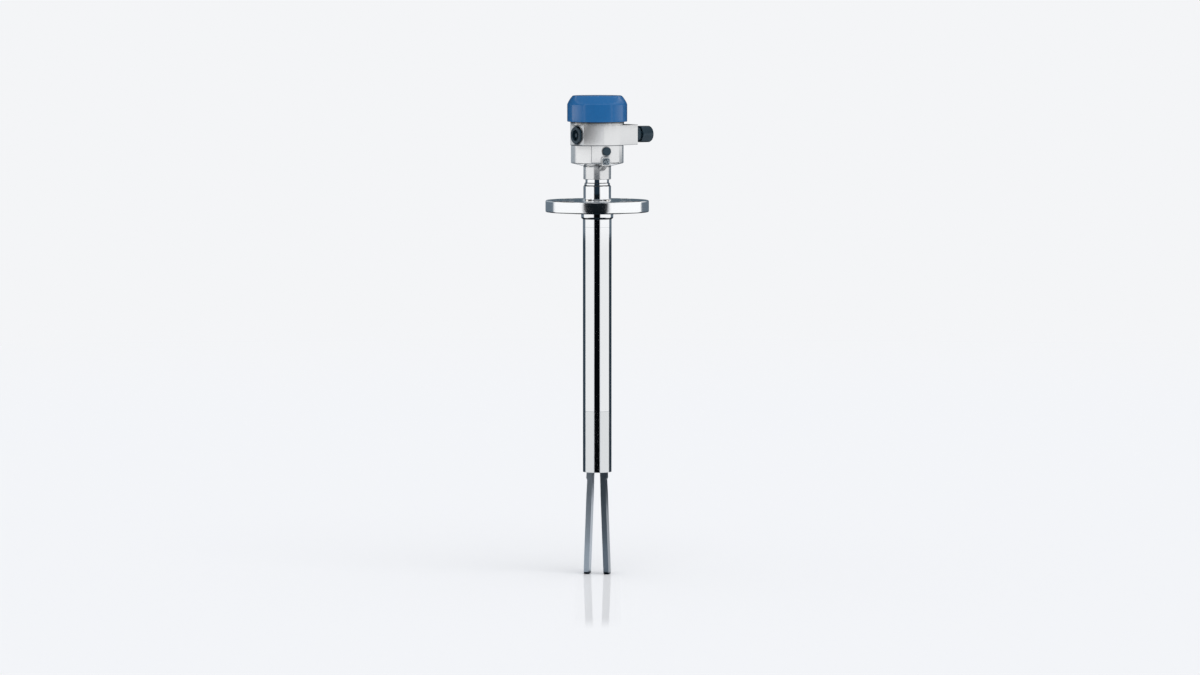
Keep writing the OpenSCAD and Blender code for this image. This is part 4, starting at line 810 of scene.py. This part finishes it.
# Threads: core radius, pitch, where the ridge starts and how far it runs, in mm along their own axis
runOut = 0.06  # of a thread's length, at each end
threads = {
    "rim_thread": {"radius": 38.35, "pitch": 4.0, "from": 141.0, "to": 156.6, "ridge": 1.1,
                   "slot": "housing_paint", "body": "housing", "place": None},
    "lid_thread": {"radius": 40.25, "pitch": 4.0, "from": 139.0, "to": 155.0, "ridge": 1.1,
                   "slot": "lid_paint", "body": "lid", "place": None},
    "gland_spigot_thread": {"radius": 9.0, "pitch": 1.5, "from": 7.4, "to": 16.6, "ridge": 0.42,
                            "slot": "black_plastic", "body": "housing", "place": onArm},
    "plug_thread": {"radius": 9.05, "pitch": 1.5, "from": -7.9, "to": -0.6, "ridge": 0.42,
                    "slot": "black_plastic", "body": "plug", "place": onPlug},
    "plug_port_thread": {"radius": 10.05, "pitch": 1.5, "from": -7.15, "to": -0.8, "ridge": 0.4,
                         "slot": "housing_paint", "body": "housing", "place": onPlug},
}
threadTree = makeThreadTree()
for name, cut in threads.items():
    bakePiece(name, threadTree, {"Radius": cut["radius"] * mm, "Pitch": cut["pitch"] * mm,
                                 "Turns": (cut["to"] - cut["from"]) / cut["pitch"], "Ridge": cut["ridge"] * mm,
                                 "Start": cut["from"] * mm, "Run-out": runOut},
              cut["slot"], cut["body"], cut["place"])
print("threads cut:", len(threads))

weld = {"radius": 20.4, "height": 19.25, "drop": 0.32, "count": 240, "seed": 4,
        "least": (0.9, 0.85, 0.9), "most": (1.05, 1.1, 1.1)}


def makeBeadTree():
    # Weld ripples: flattened drops laid one over the next round a circle
    tree, sizes = startTree("weldBead", ("Radius", "Height", "Drop"), ("Count", "Seed"))
    spots = spread(tree, circle(tree, sizes["Radius"], fineness["weldRing"]), sizes["Count"])
    segments, rings = fineness["drop"]
    drop = addNode(tree, "GeometryNodeMeshUVSphere", {"Segments": segments, "Rings": rings},
                   {"Radius": sizes["Drop"]})
    uneven = addNode(tree, "FunctionNodeRandomValue",
                     {"data_type": "FLOAT_VECTOR", 0: weld["least"], 1: weld["most"]}, {"Seed": sizes["Seed"]})
    laid = copyOnto(tree, spots["Points"], drop.outputs[0], {"Rotation": spots["Rotation"],
                                                             "Scale": uneven.outputs[0]})
    return endTree(tree, sizes, lift(tree, laid, sizes["Height"]))


bakePiece("flange_weld", makeBeadTree(), {"Radius": weld["radius"] * mm, "Height": weld["height"] * mm,
                                          "Drop": weld["drop"] * mm, "Count": weld["count"],
                                          "Seed": weld["seed"]}, "machined_steel", "probe")

# Where two turned parts meet, a thin black cord laid in the joint paints the shade in the gap there as a dark line:
# sizes in mm, and the height over the process fitting
jointShades = {
    "fitting_joint_shade": {"ring": 18.5, "cord": 0.95, "rise": 0.3, "body": "probe"},
    "sleeve_joint_shade": {"ring": 17.1, "cord": 0.65, "rise": 4.3, "body": "probe"},
}


def makeJointShadeTree():
    # A round cord laid in a ring
    tree, sizes = startTree("jointShadeCord", ("Ring", "Cord", "Height"))
    laid = sweep(tree, circle(tree, sizes["Ring"], fineness["ring"]), circle(tree, sizes["Cord"], fineness["cord"]))
    return endTree(tree, sizes, lift(tree, laid, sizes["Height"]))


jointShadeTree = makeJointShadeTree()
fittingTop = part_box("process_fitting")[1][2]
for name, jointShade in jointShades.items():
    bakePiece(name, jointShadeTree, {"Ring": jointShade["ring"] * mm, "Cord": jointShade["cord"] * mm,
                               "Height": fittingTop + jointShade["rise"] * mm}, "black_rubber", jointShade["body"])

gasket = {"first": 26.0, "pitch": 1.6, "last": 45.5, "ridge": 0.16}


def makeGrooveTree():
    # Gasket grooves: low ridges on growing circles, as a tool leaves them on a sealing face
    tree, sizes = startTree("gasketRidges", ("First", "Pitch", "Ridge", "Height"), ("Count",))
    row = addNode(tree, "GeometryNodeMeshLine", {"mode": "OFFSET", "Offset": (0, 0, 0)}, {"Count": sizes["Count"]})
    order = addNode(tree, "GeometryNodeInputIndex").outputs[0]
    radius = compute(tree, "MULTIPLY_ADD", order, sizes["Pitch"], sizes["First"])
    unit = addNode(tree, "GeometryNodeCurvePrimitiveCircle", {"Resolution": fineness["ring"], "Radius": 1.0})
    circles = copyOnto(tree, row.outputs[0], unit.outputs[0], {"Scale": radius})
    curves = addNode(tree, "GeometryNodeRealizeInstances", links={0: circles})
    ridges = sweep(tree, curves.outputs[0], circle(tree, sizes["Ridge"], fineness["ridge"]))
    return endTree(tree, sizes, lift(tree, ridges, sizes["Height"]))


bakePiece("gasket_ridges", makeGrooveTree(),
          {"First": gasket["first"] * mm, "Pitch": gasket["pitch"] * mm, "Ridge": gasket["ridge"] * mm,
           "Height": 0.0, "Count": int((gasket["last"] - gasket["first"]) / gasket["pitch"]) + 1},
          "flange_steel", "probe")

dial = {"x": -10.0, "y": 13.0, "radius": 5.6, "sweep": 270, "count": 11, "tick": (1.2, 0.3, 0.24), "turn": 45}


def makeTickTree():
    # Raised ticks on an arc round a dial
    tree, sizes = startTree("dialTicks", ("Radius", "Sweep"), ("Count",), ("Tick",))
    arc = addNode(tree, "GeometryNodeCurveArc", {"Resolution": fineness["dialArc"]},
                  {"Radius": sizes["Radius"], "Sweep Angle": sizes["Sweep"]})
    spots = spread(tree, arc.outputs[0], sizes["Count"])
    bar = addNode(tree, "GeometryNodeMeshCube", links={"Size": sizes["Tick"]})
    place = addNode(tree, "GeometryNodeInputPosition").outputs[0]
    around = addNode(tree, "FunctionNodeAxesToRotation",
                     {"primary_axis": "Z", "secondary_axis": "X", 0: (0, 0, 1)}, {1: place})
    laid = copyOnto(tree, spots["Points"], bar.outputs[0], {"Rotation": around.outputs[0]})
    return endTree(tree, sizes, laid)


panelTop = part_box("electronics_module")[1][2]
onDial = (onModule @ Matrix.Translation((dial["x"] * mm, dial["y"] * mm, panelTop))
          @ Matrix.Rotation(math.radians(dial["turn"]), 4, "Z"))
bakePiece("dial_ticks", makeTickTree(), {"Radius": dial["radius"] * mm, "Sweep": math.radians(dial["sweep"]),
                                         "Count": dial["count"], "Tick": [v * mm for v in dial["tick"]]},
          "white_plastic", "housing", onDial)
print("weld, gasket ridges and dial ticks laid")

numbers = {"x": 16.6, "pitch": 7.6, "count": 5, "height": 2.6, "sizeForHeight": 1.4, "raise": 0.12}


def makeNumbers():
    # Plain raised figures beside the terminal screws
    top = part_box("terminal_block")[1][2]
    for i in range(numbers["count"]):
        words = bpy.data.curves.new("figure", "FONT")
        words.body = str(i + 1)
        words.size = numbers["height"] * mm * numbers["sizeForHeight"]
        words.align_x = "CENTER"
        words.align_y = "CENTER"
        words.extrude = numbers["raise"] * mm
        holder = addThing("figure", words)
        shape = meshOf(holder)
        bpy.data.objects.remove(holder)
        shape.materials.clear()
        shape.materials.append(finishes["white_plastic"])
        along = (i - (numbers["count"] - 1) / 2) * numbers["pitch"] * mm
        place = (onModule @ Matrix.Translation((numbers["x"] * mm, along, top))
                 @ Matrix.Rotation(math.radians(90), 4, "Z"))
        addPiece("terminal_figure_" + str(i + 1), shape, "housing", place)


makeNumbers()
print("terminal figures set")
